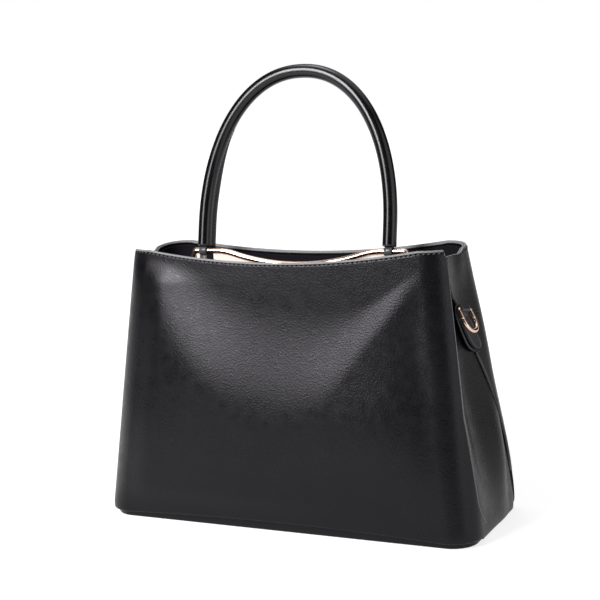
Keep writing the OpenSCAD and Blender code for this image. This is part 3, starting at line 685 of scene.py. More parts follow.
# %% [markdown]
# One row of dark waxed thread runs just under the rim, with a needle hole between each stitch and the next.
# The shade in each hole is painted as a flat dark bead.
# A dashed line in the material would stay flat from the side. Beads of thread catch light and cast
# shadows, so the row is laid on the panel's own surface, a fixed distance in from the edge.

# %% Stitches of the front panel
rim_u = np.linspace(-1 + 4 / EDGE_RUN, 1 - 4 / EDGE_RUN, 400)
front_seam = line_on(front_point, rim_u, np.full(400, 1 - STITCH_IN / FRONT_H))
put("front_panel_thread", [stitches(*front_seam)], "thread")
put("front_panel_hole_shade", [hole_shades(*front_seam)], "needle_hole_shade")

# %% [markdown]
# The back panel reaches forward on both sides as a wing, whose lower edge runs from the front panel down
# and back to the rear corner. The slanting edge could be cut with a Boolean, which leaves ragged faces. Here
# each grid column keeps its share of the way round at every height, and starts where the wing's edge
# crosses it. Halving an interval fourteen times finds that height.

# %% The wing's edge
WING_TOP_Z, WING_BEND_Z, WING_LOW_Z = 206.0, 180.0, 76.0
WING_BEND_Y, WING_LOW_Y, WING_FOOT = -4.5, 37.0, 4.5
BACK_RUN, BACK_H = 215.0, 220
DROP_FROM, DROP_RUN = 3.1, 1.7


def wing_rim(s):
    """Height of the rim at the place s: the short sides dip below the corners, easing in at the back."""
    a = np.abs(s)
    return long_rim(np.where(a <= 3, 3, 6 - a)) - SIDE_DROP * (1 - ease((a - DROP_FROM) / DROP_RUN))


def wing_front(z):
    """The place where the wing stops, a gap behind the front panel's side edge."""
    return place_of(-edge_y(z) + LAYER_GAP, z, 0)


def wing_edge(z):
    """The place of the wing's edge at height z: two slanting lines, then a curve to the rear corner."""
    top_y = -edge_y(np.asarray(WING_TOP_Z)) + LAYER_GAP
    upper = mix(top_y, WING_BEND_Y, clip01((WING_TOP_Z - z) / (WING_TOP_Z - WING_BEND_Z)))
    lower = mix(WING_BEND_Y, WING_LOW_Y, clip01((WING_BEND_Z - z) / (WING_BEND_Z - WING_LOW_Z)))
    slant = place_of(np.where(z >= WING_BEND_Z, upper, lower), z, 0)
    return np.where(z >= WING_LOW_Z, slant, mix(WING_FOOT, place_of(WING_LOW_Y, WING_LOW_Z, 0), z / WING_LOW_Z))


def wing_place(share, z):
    """A share of the way round from the middle of the back to the front of the wing."""
    return mix(6.0, wing_front(z), share)


def wing_low(share):
    """The lowest height of each column: the hem at the back, and the wing's slanting edge at the side."""
    foot = wing_place(share, np.full_like(share, HEM_Z))
    low, high = np.full_like(share, HEM_Z), np.full_like(share, WING_TOP_Z)
    for _ in range(14):
        middle = (low + high) / 2
        above = wing_edge(middle) > wing_place(share, middle)
        low, high = np.where(above, middle, low), np.where(above, high, middle)
    on_hem = foot >= wing_edge(np.full_like(share, HEM_Z))
    return np.where(on_hem, hem(np.maximum(0, 6 - foot)), (low + high) / 2)


print("lowest point of columns at 80, 90 and 100 percent:", wing_low(np.array([0.8, 0.9, 1.0])).round(1))

# %% Back panel and wings
BACK_FULL, BACK_HALF, BACK_FOOT, BACK_RUN_OUT, BACK_RIM_RUN = 2.4, 150, 8, 70, 60
WAVE_SHARE, WAVE_X, WAVE_Z = 0.25, 47, 60


def back_relief(x, y, z):
    """A broad, low fullness in the middle of the back, with a slow wave in it."""
    inside = ease((BACK_HALF - np.abs(x)) / BACK_RUN_OUT) * ease((z - BACK_FOOT) / BACK_RUN_OUT)
    inside = inside * ease((RIM_Z - RIM_SAG - z) / BACK_RIM_RUN)
    return BACK_FULL * inside * (y > 0) * (1 + WAVE_SHARE * np.sin(x / WAVE_X + z / WAVE_Z))


def back_point(u, v, d):
    """Share u across, from the right wing to the left one, and v up each column."""
    share = np.abs(u)
    z = mix(wing_low(share), wing_rim(wing_place(share, np.full_like(share, RIM_Z))), v)
    s = signed(u, wing_place(share, z))
    p = wall(s, z, d)
    out = unit(p - wall(s, z, d + 1))
    relief = back_relief(p[..., 0], p[..., 1], z)
    relief = relief + stitch_groove(np.minimum((1 - v) * BACK_H, 2 * STITCH_IN)) * (d < PANEL_T)
    return p + out * relief[..., None]


back_u = spaced(BORDER, 190, 2 * BACK_RUN) * 2 - 1
back_v = spaced(BORDER, 80, BACK_H)
put("back_panel_skin", [painted(shell(back_point, back_u, back_v, 0, PANEL_T))], "bag_leather",
    stands_for=["back_panel"])

# %% [markdown]
# The row of thread on the back is sewn in the same way. It stops where the wings begin, because the wings'
# rim is turned over without a seam that shows.

# %% Stitches of the back panel
rim_u = np.linspace(-0.7, 0.7, 500)
back_seam = line_on(back_point, rim_u, np.full(500, 1 - STITCH_IN / BACK_H))
put("back_panel_thread", [stitches(*back_seam)], "thread")
put("back_panel_hole_shade", [hole_shades(*back_seam)], "needle_hole_shade")

# %% [markdown]
# Between the front panel and the wing a gusset closes the short side. It is thinner than the panels and
# runs in under both of them. It could be one flat wedge, but leather that is drawn in buckles, so two soft
# swells are added to the wall: a faint one near the front and a full one low at the back.

# %% Gussets
LAP, GUSSET_FOOT, GUSSET_REAR = 6.0, 1.0, 4.7
FORE_HIGH, FORE_Y, FORE_WIDE = 0.9, -26, 9
BELLY_HIGH, BELLY_Y, BELLY_WIDE, BELLY_Z, BELLY_TALL = 5.0, 22, 15, 56, 38
FACING_H, RIM_INSET = 26, 0.8
GUSSET_TOP = float(wing_rim(np.asarray(3.0))) - RIM_INSET - FACING_H - LAYER_GAP


def gusset_point(u, v, d):
    """Share u from front to back and v up; a bell-shaped swell runs up the front and one bulges at the back."""
    z = mix(GUSSET_FOOT, GUSSET_TOP, v)
    corner = place_of(edge_y(np.asarray(WING_LOW_Z)) + LAP, WING_LOW_Z, 0)
    rear = np.where(z >= WING_LOW_Z, place_of(edge_y(z) + LAP, z, 0), mix(GUSSET_REAR, corner, z / WING_LOW_Z))
    s = mix(place_of(-edge_y(z) - LAP, z, 0), rear, u)
    p = wall(s, z, d)
    out = unit(p - wall(s, z, d + 1))
    y = p[..., 1]
    inside = ease((y + edge_y(z) - 1) / 9) * ease((40 - y) / 12)
    fore = FORE_HIGH * np.exp(-((y - FORE_Y) / FORE_WIDE) ** 2) * ease((z - 8) / 40) * ease((180 - z) / 60)
    belly = BELLY_HIGH * np.exp(-((y - BELLY_Y) / BELLY_WIDE) ** 2) * np.exp(-((z - BELLY_Z) / BELLY_TALL) ** 2)
    return p + out * ((fore + belly) * inside)[..., None]


gusset_u = spaced([0, 1.5, 3, 5], 50, 110)
gusset_v = spaced([0, 1.5, 3, 5], 80, GUSSET_TOP)
put_pair("gusset_{}_skin", "gusset_{}", shell(gusset_point, gusset_u, gusset_v, GUSSET_D, GUSSET_T),
         "side_leather")

# %% [markdown]
# The base panel is a shallow tray of leather with a turned-up wall, hidden behind the panels' lower edges.
# It could be a box with its top left open. It is made as a stack of closed rings instead, outside from the
# floor up, over the lip, and down again inside, because each ring is the bag's own wall at one depth.

# %% Base panel
RING_STEPS = np.arange(-143, 145) / 24
TRAY_H, TRAY_FLOOR = 14.0, 1.6


def closed_stack(rings):
    """Rings of points joined in order, the first and the last closed by fans about their middles."""
    rings = np.asarray(rings)
    count, n = rings.shape[:2]
    points = np.concatenate([rings.reshape(-1, 3), rings[0].mean(0)[None], rings[-1].mean(0)[None]])
    grid = np.arange(count * n).reshape(count, n)
    ahead, middle = np.roll(grid, -1, 1), np.full(n, count * n)
    fans = [np.stack([ahead[0], grid[0], middle], -1), np.stack([grid[-1], ahead[-1], middle + 1], -1)]
    return points, np.concatenate([halves(bands(grid))] + fans), np.full(len(points), NO_EDGE)


def lip(z, d, t):
    """Depths and heights over a rounded lip, a half circle, whose top is at z, on a wall from d to d + t."""
    turn = np.pi * np.arange(0, 7) / 6
    return [(d + t / 2 - t / 2 * math.cos(a), z - t / 2 + t / 2 * math.sin(a)) for a in turn]


def wall_rings(profile):
    """A ring of the bag's wall for each depth and height of a profile."""
    return closed_stack([wall(RING_STEPS, np.full_like(RING_STEPS, z), d) for d, z in profile])


tray = [(LINING_D + 1.2, 0.0), (LINING_D + 0.4, 0.3), (LINING_D, 1.1), (LINING_D, 6.0)]
tray += lip(TRAY_H, LINING_D, GUSSET_T) + [(BASE_IN_D, 6.0), (BASE_IN_D, TRAY_FLOOR)]
put("base_panel_skin", [wall_rings(tray)], "bag_leather", stands_for=["base_panel"])

# %% [markdown]
# Inside the rim a facing of the same leather is turned over the lining. It could be the outer panel folded
# inwards in one piece, but a bag maker sews it on as two bands that meet near the front corners, so two
# bands are made, each a shell on the same wall, further in.

# %% Facings
SPLIT, SPLIT_GAP = 1.45, 0.02


def inner_rim(s):
    """Height of the facing's top: the front's rim as far as the join, the back's beyond it, a little lower."""
    return np.where(np.abs(s) <= SPLIT, long_rim(np.abs(s)), wing_rim(s)) - RIM_INSET


def facing_front_point(u, v, d):
    """Share u from join to join along the front and v up a band of even height."""
    return wall(u * (SPLIT - SPLIT_GAP), inner_rim(u * SPLIT) - FACING_H * (1 - v), d)


def facing_back_point(u, v, d):
    """Share u from join to join round the back and v up a band of even height."""
    s = mix(6.0, SPLIT + SPLIT_GAP, np.abs(u))
    return wall(signed(u, s), inner_rim(s + SPLIT_GAP) - FACING_H * (1 - v), d)


facing_v = spaced([0, 1.2, 2, 4], 7, FACING_H)
for label, at, count, run in (("front", facing_front_point, 100, 320), ("back", facing_back_point, 160, 430)):
    facing = shell(at, spaced([0, 2], count, run) * 2 - 1, facing_v, GUSSET_D, GUSSET_T)
    put(f"facing_{label}_skin", [facing], "bag_leather", stands_for=[f"facing_{label}"])

# %% [markdown]
# Below the facing the lining cloth hangs to the base. Loose lining could be draped by cloth simulation.
# This one is glued to the stiff walls, so it simply follows the wall, a layer further in, and a flat cloth
# lies on the board.

# %% Lining
LINING_FOOT, LINING_UNDER = 14.3, 4
SEAM_FRONT, SEAM_BACK = 2.99, 3.01


def lining_z(s, v):
    """Height: v of the way from the tray's lip to just under the rim."""
    return mix(LINING_FOOT, wing_rim(np.where(np.abs(s) <= 3, 6 - np.abs(s), s)) - LINING_UNDER, v)


def lining_front_point(u, v, d):
    """Share u across the front half, from side seam to side seam, and v up."""
    return wall(u * SEAM_FRONT, lining_z(u * 3, v), d)


def lining_back_point(u, v, d):
    """Share u across the back half, from side seam to side seam, and v up."""
    s = mix(6.0, SEAM_BACK, np.abs(u))
    return wall(signed(u, s), lining_z(s, v), d)


lining_u, lining_v = spaced([0, 2], 120, 500) * 2 - 1, spaced([0, 1, 3], 40, 200)
for label, at in (("front", lining_front_point), ("back", lining_back_point)):
    put(f"lining_{label}_cloth", [shell(at, lining_u, lining_v, LINING_D, LINING_T)], "lining_cloth",
        stands_for=[f"lining_{label}"])
floor_d = BASE_IN_D + LAYER_GAP
floor_rings = [(floor_d + 0.3, 4.1), (floor_d, 4.3), (floor_d, 4.7), (floor_d + 0.3, 4.9)]
put("lining_base_cloth", [wall_rings(floor_rings)], "lining_cloth", stands_for=["lining_base"])

# %% [markdown]
# Two leaves divide the bag across its middle, with the handle's bracket between them. Each could be a
# plain board, but its sides have to follow the leaning, pinched walls, so its width at every height is read
# from the wall's formula.

# %% Divider
LEAF_T, LEAF_Y, LEAF_FOOT, LEAF_TOP, LEAF_GAP = 1.2, 0.75, 4.9, 203.0, 0.6


def leaf_point(side):
    """The surface of one leaf, whose inner face is LEAF_Y from mid-depth."""
    def at(u, v, d):
        """Share u across and v up; the half width is the wall's own, less a gap."""
        z = mix(LEAF_FOOT, LEAF_TOP, v)
        x = u * (side_point(-LEAF_Y - LEAF_T, z, BASE_IN_D)[..., 0] - LEAF_GAP)
        return np.stack([x, side * (LEAF_Y + LEAF_T - d) + 0 * x, z], -1)
    return at


leaf_u, leaf_v = spaced([0, 1, 3], 80, 300) * 2 - 1, spaced([0, 1, 3], 50, 198)
for side, label in ((-1, "front"), (1, "back")):
    put(f"divider_{label}_leaf", [shell(leaf_point(side), leaf_u, leaf_v, 0, LEAF_T)], "lining_cloth",
        stands_for=[f"divider_{label}"])

# %% [markdown]
# Metal parts on a bag are round wire, so each is a circle carried along a path. A Blender curve with a
# bevel does the same. Points worked out here make a closed mesh at once, and the wire can thin along its
# way. The circles are carried without twist, because each path lies in one plane.

# %% A tube along a path
TUBE_SIDES = 28


def tube(path, radius, sides=TUBE_SIDES, closed=False):
    """Circles across the path: their axes are the path plane's normal and what is square to it."""
    path = np.asarray(path, float)
    ahead = np.roll(path, -1, 0) - np.roll(path, 1, 0) if closed else np.gradient(path, axis=0)
    along = unit(ahead)
    flat = np.linalg.svd(path - path.mean(0))[2][-1]
    side = unit(np.cross(along, flat))
    up = np.cross(side, along)
    turn = np.arange(sides)[:, None] * 2 * np.pi / sides
    radius = np.broadcast_to(radius, len(path))[:, None, None]
    rings = path[:, None] + radius * (np.cos(turn) * side[:, None] + np.sin(turn) * up[:, None])
    if not closed:
        return closed_stack(rings)
    grid = np.arange(len(path) * sides).reshape(-1, sides)
    return rings.reshape(-1, 3), halves(bands(grid, wrap=True)), np.full(grid.size, NO_EDGE)


def rounded_corner(before, corner, after, r, steps=10):
    """Points of an arc of radius r that joins two straight runs at a corner."""
    a, b = unit(before - corner), unit(after - corner)
    half = math.acos(float(np.clip((a * b).sum(), -1, 1))) / 2
    centre = corner + unit(a + b) * r / math.sin(half)
    start = corner + a * r / math.tan(half) - centre
    end = corner + b * r / math.tan(half) - centre
    sweep = math.pi - 2 * half
    t = np.linspace(0, 1, steps)[:, None]
    return centre + (start * np.sin((1 - t) * sweep) + end * np.sin(t * sweep)) / math.sin(sweep)


print("a tube is", TUBE_SIDES, "faces round")

# %% [markdown]
# The bracket is the metal bar that shows between the handle's feet. It has a straight shoulder at each
# end, where a handle foot turns, dips between them, and ends in a short leg that bends down into the
# divider. A hand-drawn curve would wander, so the dip is two circles and the ends are rounded corners. Its
# apron is a polished metal plate that closes the space under the bar, cut down under each foot. Its
# near-white colour is a painted reflection of white surroundings, since the plate is not made metallic.

# %% Bracket
HINGE_Z, SHOULDER, SHOULDER_END, BAR_R, BAR_DIP, BEND_R = 221.5, 76.0, 96.0, 2.5, 11.3, 60.0
BEND = 2 * math.atan(BAR_DIP / SHOULDER)
DIP_R, BEND_X = SHOULDER / math.sin(BEND) - BEND_R, SHOULDER - BEND_R * math.sin(BEND)
BRACKET_LEG, LEG_SPLAY, LEG_BEND_R = 15.7, math.radians(18), 2.2
FEET, SLOT_HALF, SLOT_DROP = 84.6, 6.5, 12.4
APRON_T, APRON_FOOT = 1.2, 190.0


def bar_line(x):
    """Height of the bar: level shoulders, two bends and the dip between them."""
    a = np.abs(x)
    bend = HINGE_Z - BEND_R + np.sqrt(np.maximum(BEND_R ** 2 - (SHOULDER - a) ** 2, 0))
    dip = HINGE_Z - BAR_DIP + DIP_R - np.sqrt(np.maximum(DIP_R ** 2 - a ** 2, 0))
    return np.where(a >= SHOULDER, HINGE_Z, np.where(a >= BEND_X, bend, dip))


def bar_path():
    """From the left leg's foot up, over the bar and down the right leg."""
    leg = BRACKET_LEG * np.array([math.sin(LEG_SPLAY), 0, -math.cos(LEG_SPLAY)])
    corner = np.array([SHOULDER_END, 0, HINGE_Z])
    bend = rounded_corner(np.array([SHOULDER_END - 9, 0, HINGE_Z]), corner, corner + leg, LEG_BEND_R)
    half = np.concatenate([bend, (corner + leg * np.linspace(0.3, 1, 8)[:, None])])
    x = np.linspace(-90, 90, 181)
    bar = np.stack([x, 0 * x, bar_line(x)], -1)
    return np.concatenate([mirrored(half[::-1]), bar, half])


def apron_point(x, v, d):
    """A plate from the divider up to the bar, cut down under each handle foot."""
    slot = np.abs(np.abs(x) - FEET) < SLOT_HALF
    top = np.where(slot, HINGE_Z - SLOT_DROP, bar_line(x))
    return np.stack([x, -APRON_T / 2 + d + 0 * x, mix(APRON_FOOT, top, v)], -1)


slot_edges = np.array([FEET - SLOT_HALF, FEET + SLOT_HALF])
apron_x = np.concatenate([np.linspace(0, 77, 60), slot_edges - 0.01, slot_edges + 0.01,
                          np.linspace(79, 90, 8), [92.5, 94.6]])
apron_x = np.unique(np.concatenate([-apron_x, apron_x]).round(4))
put("handle_bracket_metal", [tube(bar_path(), BAR_R)], "rose_gold", stands_for=["handle_bracket"])
put("bracket_apron_metal", [shell(apron_point, apron_x, spaced([0, 0.7], 14, 30), 0, APRON_T)],
    "apron_painted_reflection")

# %% [markdown]
# Four rivets hold the apron between the divider's leaves. The Spin tool would turn a profile into a rivet.
# The same turning is done in numbers here: each point of a profile becomes a ring, and the rings become a
# closed stack, as in the base panel.

# %% Rivets
RIVETS, RIVET_PITCH, RIVET_Z, RIVET_R, SHANK_HALF, HEAD_Y = 4, 44.0, 196.5, 1.5, 2.2, 1.95
RIVET_HEAD = [(2.9, 0.0), (3.0, 0.15), (2.85, 0.5), (2.3, 0.85), (1.4, 1.0), (0.4, 1.02)]


def lathe(profile, centre, axis_y, sides=32):
    """A profile of (radius, height) pairs turned about the Y axis."""
    turn = np.arange(sides) * 2 * np.pi / sides
    return closed_stack([np.stack([centre[0] + r * np.cos(turn), centre[1] + axis_y * h + 0 * turn,
                                   centre[2] + r * np.sin(turn)], -1) for r, h in profile])


rivets = []
for k in range(RIVETS):
    middle = ((k - (RIVETS - 1) / 2) * RIVET_PITCH, 0.0, RIVET_Z)
    rivets += [lathe([(r, HEAD_Y + h) for r, h in RIVET_HEAD], middle, side) for side in (-1, 1)]
    rivets.append(lathe([(RIVET_R, -SHANK_HALF), (RIVET_R, SHANK_HALF)], middle, 1))
put("bracket_rivets_metal", rivets, "rose_gold", stands_for=["bracket_rivets"])

# %% [markdown]
# The handle is a rope core in a rolled leather cover. Its centre line is a superellipse on two upright
# legs, which fits the photographed arch better than a half circle or a Bezier curve. The cover's two cut
# edges meet in a sewn fin on the inner rear side, proud at the feet and sinking into the roll towards the
# top, with its own painted edge. The fin is part of the same tube: the radius grows where it stands.

# %% The handle's centre line
HANDLE_R, HANDLE_H, LEG_H, POWER, LEAN, SLIDE = 5.75, 149.4, 20.0, 2.15, math.radians(11.5), -2.4
FOOT_H, SEAM_AT, SEAM_HALF, SEAM_H, COVER_T = 4.25, 3 / 8, 1 / 16, 4.0, 1.4
ARC_END, ARCH_END = 37, 38
SINK_Z, SINK_RUN = 50, 75


def leaning(p):
    """From the handle's own upright frame to the bag: lean back about the bar, then slide along it."""
    y = p[..., 1] * math.cos(LEAN) + p[..., 2] * math.sin(LEAN)
    z = -p[..., 1] * math.sin(LEAN) + p[..., 2] * math.cos(LEAN)
    return np.stack([p[..., 0] + SLIDE, y, HINGE_Z + z], -1)


def arch(k):
    """Centre point (x, z) and outward direction at step k: 0 right foot, 1 to 37 the arc, 38 left foot.

    On the arc, x and z are the cosine and the sine of the angle, each to the power 2 / POWER."""
    a = np.radians(180 * clip01((k - 1) / (ARC_END - 1)))
    c, s = np.abs(np.cos(a)), np.maximum(np.sin(a), 0)
    side = np.where(a > np.pi / 2, -1, 1)
    below = np.where(k < 1, 1 - k, np.where(k > ARC_END, k - ARC_END, 0)) * (LEG_H - FOOT_H)
    top = HANDLE_H - LEG_H
    middle = np.stack([side * FEET * c ** (2 / POWER), LEG_H - below + top * s ** (2 / POWER)], -1)
    e = 2 - 2 / POWER
    return middle, unit(np.stack([side * c ** e * top, s ** e * FEET], -1))


def fin(turn, z):
    """Height of the sewn fin over the roll, from nothing to SEAM_H along its width and along the leg."""
    sink = ease((z - SINK_Z) / SINK_RUN)
    near = clip01(np.abs(turn - SEAM_AT) / SEAM_HALF)
    return SEAM_H * (1 - sink) * (1 - near) ** 2


handle_top = np.insert(arch(np.asarray((1 + ARC_END) / 2))[0], 1, 0)
print("top of the handle's centre line:", leaning(handle_top).round(1))


# %% Handle cover
def cover_point(turn, k, inside):
    """Share turn of the way round the roll, from its outer side towards the back, and step k of the arch."""
    middle, out = arch(k)
    r = HANDLE_R - inside + (fin(turn, middle[..., 1]) if inside == 0 else 0)
    swing = r * np.cos(turn * 2 * np.pi)
    return leaning(np.stack([middle[..., 0] + swing * out[..., 0], r * np.sin(turn * 2 * np.pi),
                             middle[..., 1] + swing * out[..., 1]], -1))


def cover_shell(turns, ks, t):
    """A tube wall: outer and inner skins joined by a ring at each foot, the fin's crest marked as edge."""
    n, m = len(turns), len(ks)
    k, u = np.meshgrid(ks, turns, indexing="ij")
    outer, inner = cover_point(u, k, 0), cover_point(u, k, t)
    tip = cover_point(u[[0, -1]], k[[0, -1]], t / 2) + np.array([[0.0, 0, -0.35]])
    points = np.concatenate([outer.reshape(-1, 3), inner.reshape(-1, 3), tip.reshape(-1, 3)])
    grid = np.arange(m * n).reshape(m, n)
    skin = bands(grid)
    faces = [skin, skin[:, ::-1] + n * m]
    for row, end, flip in ((0, 0, 1), (m - 1, 1, -1)):
        lap = np.stack([grid[row], (2 * m + end) * n + grid[0], n * m + grid[row]])
        faces.append(bands(lap)[:, ACROSS_FIRST][:, ::flip])
    run = np.concatenate([[0], np.cumsum(np.linalg.norm(np.diff(outer[:, 0], axis=0), axis=-1))])
    foot = np.minimum(run, run[-1] - run)[:, None] + 0 * u
    proud = fin(np.full_like(u, SEAM_AT), arch(k)[0][..., 1]) > 0.6
    crest = np.where(proud, np.abs(u - SEAM_AT) * 60 - 0.1, NO_EDGE)
    edge = np.minimum(foot, np.maximum(crest, 0)).ravel()
    return points, np.concatenate(faces), np.concatenate([edge, edge * 0 + NO_EDGE, np.zeros(2 * n)])


fin_half = np.array([0, 0.04, 0.1, 0.18, 0.28, 0.4, 0.55, 0.7, 0.85, 1])
fin_turns = SEAM_AT + SEAM_HALF * np.concatenate([-fin_half[:0:-1], fin_half])
turns = np.concatenate([np.linspace(0, SEAM_AT - SEAM_HALF, 20)[:-1], fin_turns,
                        np.linspace(SEAM_AT + SEAM_HALF, 1, 36)[1:-1]])
ks = np.concatenate([[0, 0.06, 0.12], np.linspace(0.2, 1, 7), np.linspace(1, ARC_END, 181)[1:],
                     ARC_END + np.linspace(0, 0.8, 7)[1:], [37.88, 37.94, ARCH_END]])
put("handle_cover_skin", [cover_shell(turns, ks, COVER_T)], "handle_leather", "handle",
    stands_for=["handle_cover"])

# %% [markdown]
# The fin is sewn shut on the legs, and its thread shows on both of its faces. The stitches are the same
# beads as on the rim, finer and closer together. Their line is read from the cover's own formula, a small
# turn away from the fin's crest, so that they sit on the leather wherever the fin leans.

# %% Stitches of the handle
SEAM_BESIDE = 0.022
LEG_STEPS = ((0.25, 9.0), (29.0, 37.75))


def fin_line(first, last, beside):
    """A line beside the fin's crest, and the direction out of its face: the cross of its two slopes."""
    k = np.linspace(first, last, 300)
    turn = np.full(300, SEAM_AT + beside)
    on = cover_point(turn, k, 0)
    slope = np.gradient(on, axis=0)
    across = cover_point(turn + 0.002, k, 0) - cover_point(turn - 0.002, k, 0)
    out = unit(np.cross(slope, across))
    middle = leaning(np.insert(arch(k)[0], 1, 0, -1))
    return on, out * np.sign(((on - middle) * out).sum(-1))[:, None]


put("handle_thread", [stitches(*fin_line(a, b, side * SEAM_BESIDE), pitch=3.2, long=2.5, wide=0.6, high=0.45)
                      for a, b in LEG_STEPS for side in (-1, 1)], "thread", "handle")

# %% [markdown]
# Each handle foot ends in a strap that is folded round the bar and sewn to itself. Seen from the end it
# has the outline of a keyhole with a round bore. A block could be cut out with Booleans and bevelled. The
# outline is carried across the strap's width instead, and drawn in a little at both faces, which rounds
# its edges and leaves the bore clean for the bar.

# %% Loops round the bar
LOOP_W, LOOP_T, TAIL_L, TONGUE_L, BORE_R, BORE_FLARE = 7.0, 1.4, 11.0, 9, 2.55, 0.12
LOOP_ROUND, LOOP_CHAMFER, LOOP_CHAMFER_IN, BORE_MOUTH = 0.45, 0.12, 0.2, 0.4


def keyhole(grow):
    """Outline points in the (y, z) plane: tongue up, ring round the bore, tail down, each grown by grow."""
    outer, flat = BORE_R + LOOP_T + grow, LOOP_T + grow
    high, low = FOOT_H + TONGUE_L + grow, -(TAIL_L + grow)
    join = math.asin(flat / outer)
    ring = np.linspace(join, np.pi - join, 26)
    side = np.stack([outer * np.sin(ring), outer * np.cos(ring)], -1)
    up = np.stack([np.full(9, flat), np.linspace(high, side[0, 1], 9)], -1)[:-1]
    down = np.stack([np.full(9, flat), np.linspace(side[-1, 1], low, 9)], -1)[1:]
    half = np.concatenate([[[flat * 0.4, high + 0.15]], up, side, down, [[flat * 0.4, low - 0.15]]])
    return np.concatenate([half, half[::-1] * np.array([-1, 1])])


def loop(side):
    """Strap across x: its outline is drawn in at both faces, and its bore flares at the mouths."""
    half = LOOP_W / 2
    rounding = [(0.0, -LOOP_ROUND), (LOOP_CHAMFER, -LOOP_CHAMFER_IN), (LOOP_ROUND, 0.0)]
    steps = [(-half + x, g) for x, g in rounding] + [(half - x, g) for x, g in rounding[::-1]]
    outlines = [np.insert(keyhole(g), 0, side * FEET + x, -1) for x, g in steps]
    bores = []
    mouth = half - BORE_MOUTH
    for x, flare in ((half, BORE_FLARE), (mouth, 0.0), (-mouth, 0.0), (-half, BORE_FLARE)):
        bores.append(np.insert(unit(keyhole(0)) * (BORE_R + flare), 0, side * FEET + x, -1))
    rings = np.array(outlines + bores)
    m, n = rings.shape[:2]
    edge = [half - abs(x) for x, _ in steps] + [NO_EDGE] * len(bores)
    return leaning(rings.reshape(-1, 3)), bands(np.arange(m * n).reshape(m, n), wrap=True), np.repeat(edge, n)


put("handle_loops_skin", [loop(-1), loop(1)], "handle_leather", "handle",
    stands_for=["handle_loops"])

# %% [markdown]
# On each side a tab carries a ring for a shoulder strap. It starts with a patch with round ends that lies
# on the wing. A flat patch could be shrink-wrapped onto the wall. Its points are read from the wall's own
# formula instead, so that it follows the pinch exactly, a layer further out.

# %% Tab patch
TAB_Z, TAB_L, TAB_Y, TAB_RUN, TAB_T, TAB_HEAD = 177.5, 37.0, -5.5, 16.5, 1.3, 4
PATCH_W, STRAP_W, STRAP_TIP_W = 15.0, 12.0, 8.8
SLANT = math.atan(TAB_RUN / TAB_L)


def tab_centre(z):
    """Depth of the tab's middle line, which slants back as it goes down."""
    return TAB_Y + (TAB_Z - z) * TAB_RUN / TAB_L


def tab_point(u, v, d):
    """A patch with round ends: its half width shrinks as a circle does over the last quarter."""
    z = mix(TAB_Z - TAB_L, TAB_Z + TAB_HEAD, v)
    end = np.minimum(v, 1 - v) / 0.25
    half = PATCH_W / 2 * np.sqrt(1 - (1 - np.clip(end, 0.03, 1)) ** 2)
    return side_point(tab_centre(z) + u * half / math.cos(SLANT), z, d)


patch_u, patch_v = spaced([0, 1.0, 2.0], 10, 18) * 2 - 1, spaced([0, 0.4, 1.0, 2.0], 30, 45)
put_pair("tab_patch_{}_skin", "tab_patch_{}", shell(tab_point, patch_u, patch_v, -LAYER_GAP - TAB_T, TAB_T),
         "side_leather")

# %% [markdown]
# The ring's bar has a frame of its own: out from the wall, along the bar, and up. The bar is tilted a
# little against the wall's level line, as in the photograph. Three crossed directions at one point of the
# wall give the frame, so that strap and ring stay together if the wall changes.

# %% Frame of the ring's bar
WIRE_R, RING_W, ARM_L, RING_LIFT, RING_TILT = 1.8, 18.0, 10.0, math.radians(27.5), math.radians(8)
RING_STAND = LAYER_GAP * 2 + TAB_T * 2 + WIRE_R + 0.05 + 0.5
seat = side_point(TAB_Y, TAB_Z, 0)
along_wall = unit(side_point(TAB_Y + 1, TAB_Z, 0) - side_point(TAB_Y - 1, TAB_Z, 0))
up_wall = side_point(TAB_Y, TAB_Z + 1, 0) - side_point(TAB_Y, TAB_Z - 1, 0)
tab_out = unit(np.cross(along_wall, up_wall))
tab_bar = along_wall * math.cos(RING_TILT) - np.cross(tab_out, along_wall) * math.sin(RING_TILT)
tab_up = np.cross(tab_out, tab_bar)
ring_centre = seat + tab_out * RING_STAND
print("ring's bar at", ring_centre.round(3), "along", tab_bar.round(4))

# %% [markdown]
# A narrow strap is doubled over the ring's bar and sewn down on the patch. A strip with a Simple Deform
# bend could go round the bar, but not also follow the wall. So the ribbon's path is worked out in its own
# plane, as distance out from the wall against height along the tab, and a flattened loop with round edges
# is carried along it.

# %% Tab strap
RIBBON_T, RIBBON_OFF, BAR_PLAY = 1.1, 1.9, 0.08
TIP_ROUND, SQUARE_FROM, SQUARE_RUN = 8.5, 11, 8


def ribbon_path():
    """Out and up: the outer layer up from the tip, round the bar's outside, and the inner layer down."""
    r = WIRE_R + BAR_PLAY + RIBBON_T / 2
    inner_o, outer_o = RIBBON_OFF + RIBBON_T / 2, RIBBON_OFF + RIBBON_T * 1.5 + 0.05
    tip = -(TAB_L - (PATCH_W - STRAP_TIP_W) / 2) / tab_up[2]
    rise_up = np.stack([np.full(22, outer_o), np.linspace(tip, -7.5, 22)], -1)
    turn = np.radians(np.linspace(-62, 188, 40))
    round_bar = np.stack([RING_STAND + r * np.cos(turn), r * np.sin(turn)], -1)
    lead = np.array([[outer_o + 0.15, -6.2], [outer_o + 0.75, -4.9], [outer_o + 1.7, -3.6]])
    fall = np.stack([np.full(22, inner_o), np.linspace(-4.5, tip, 22)], -1)
    return np.concatenate([rise_up, lead, round_bar, fall])


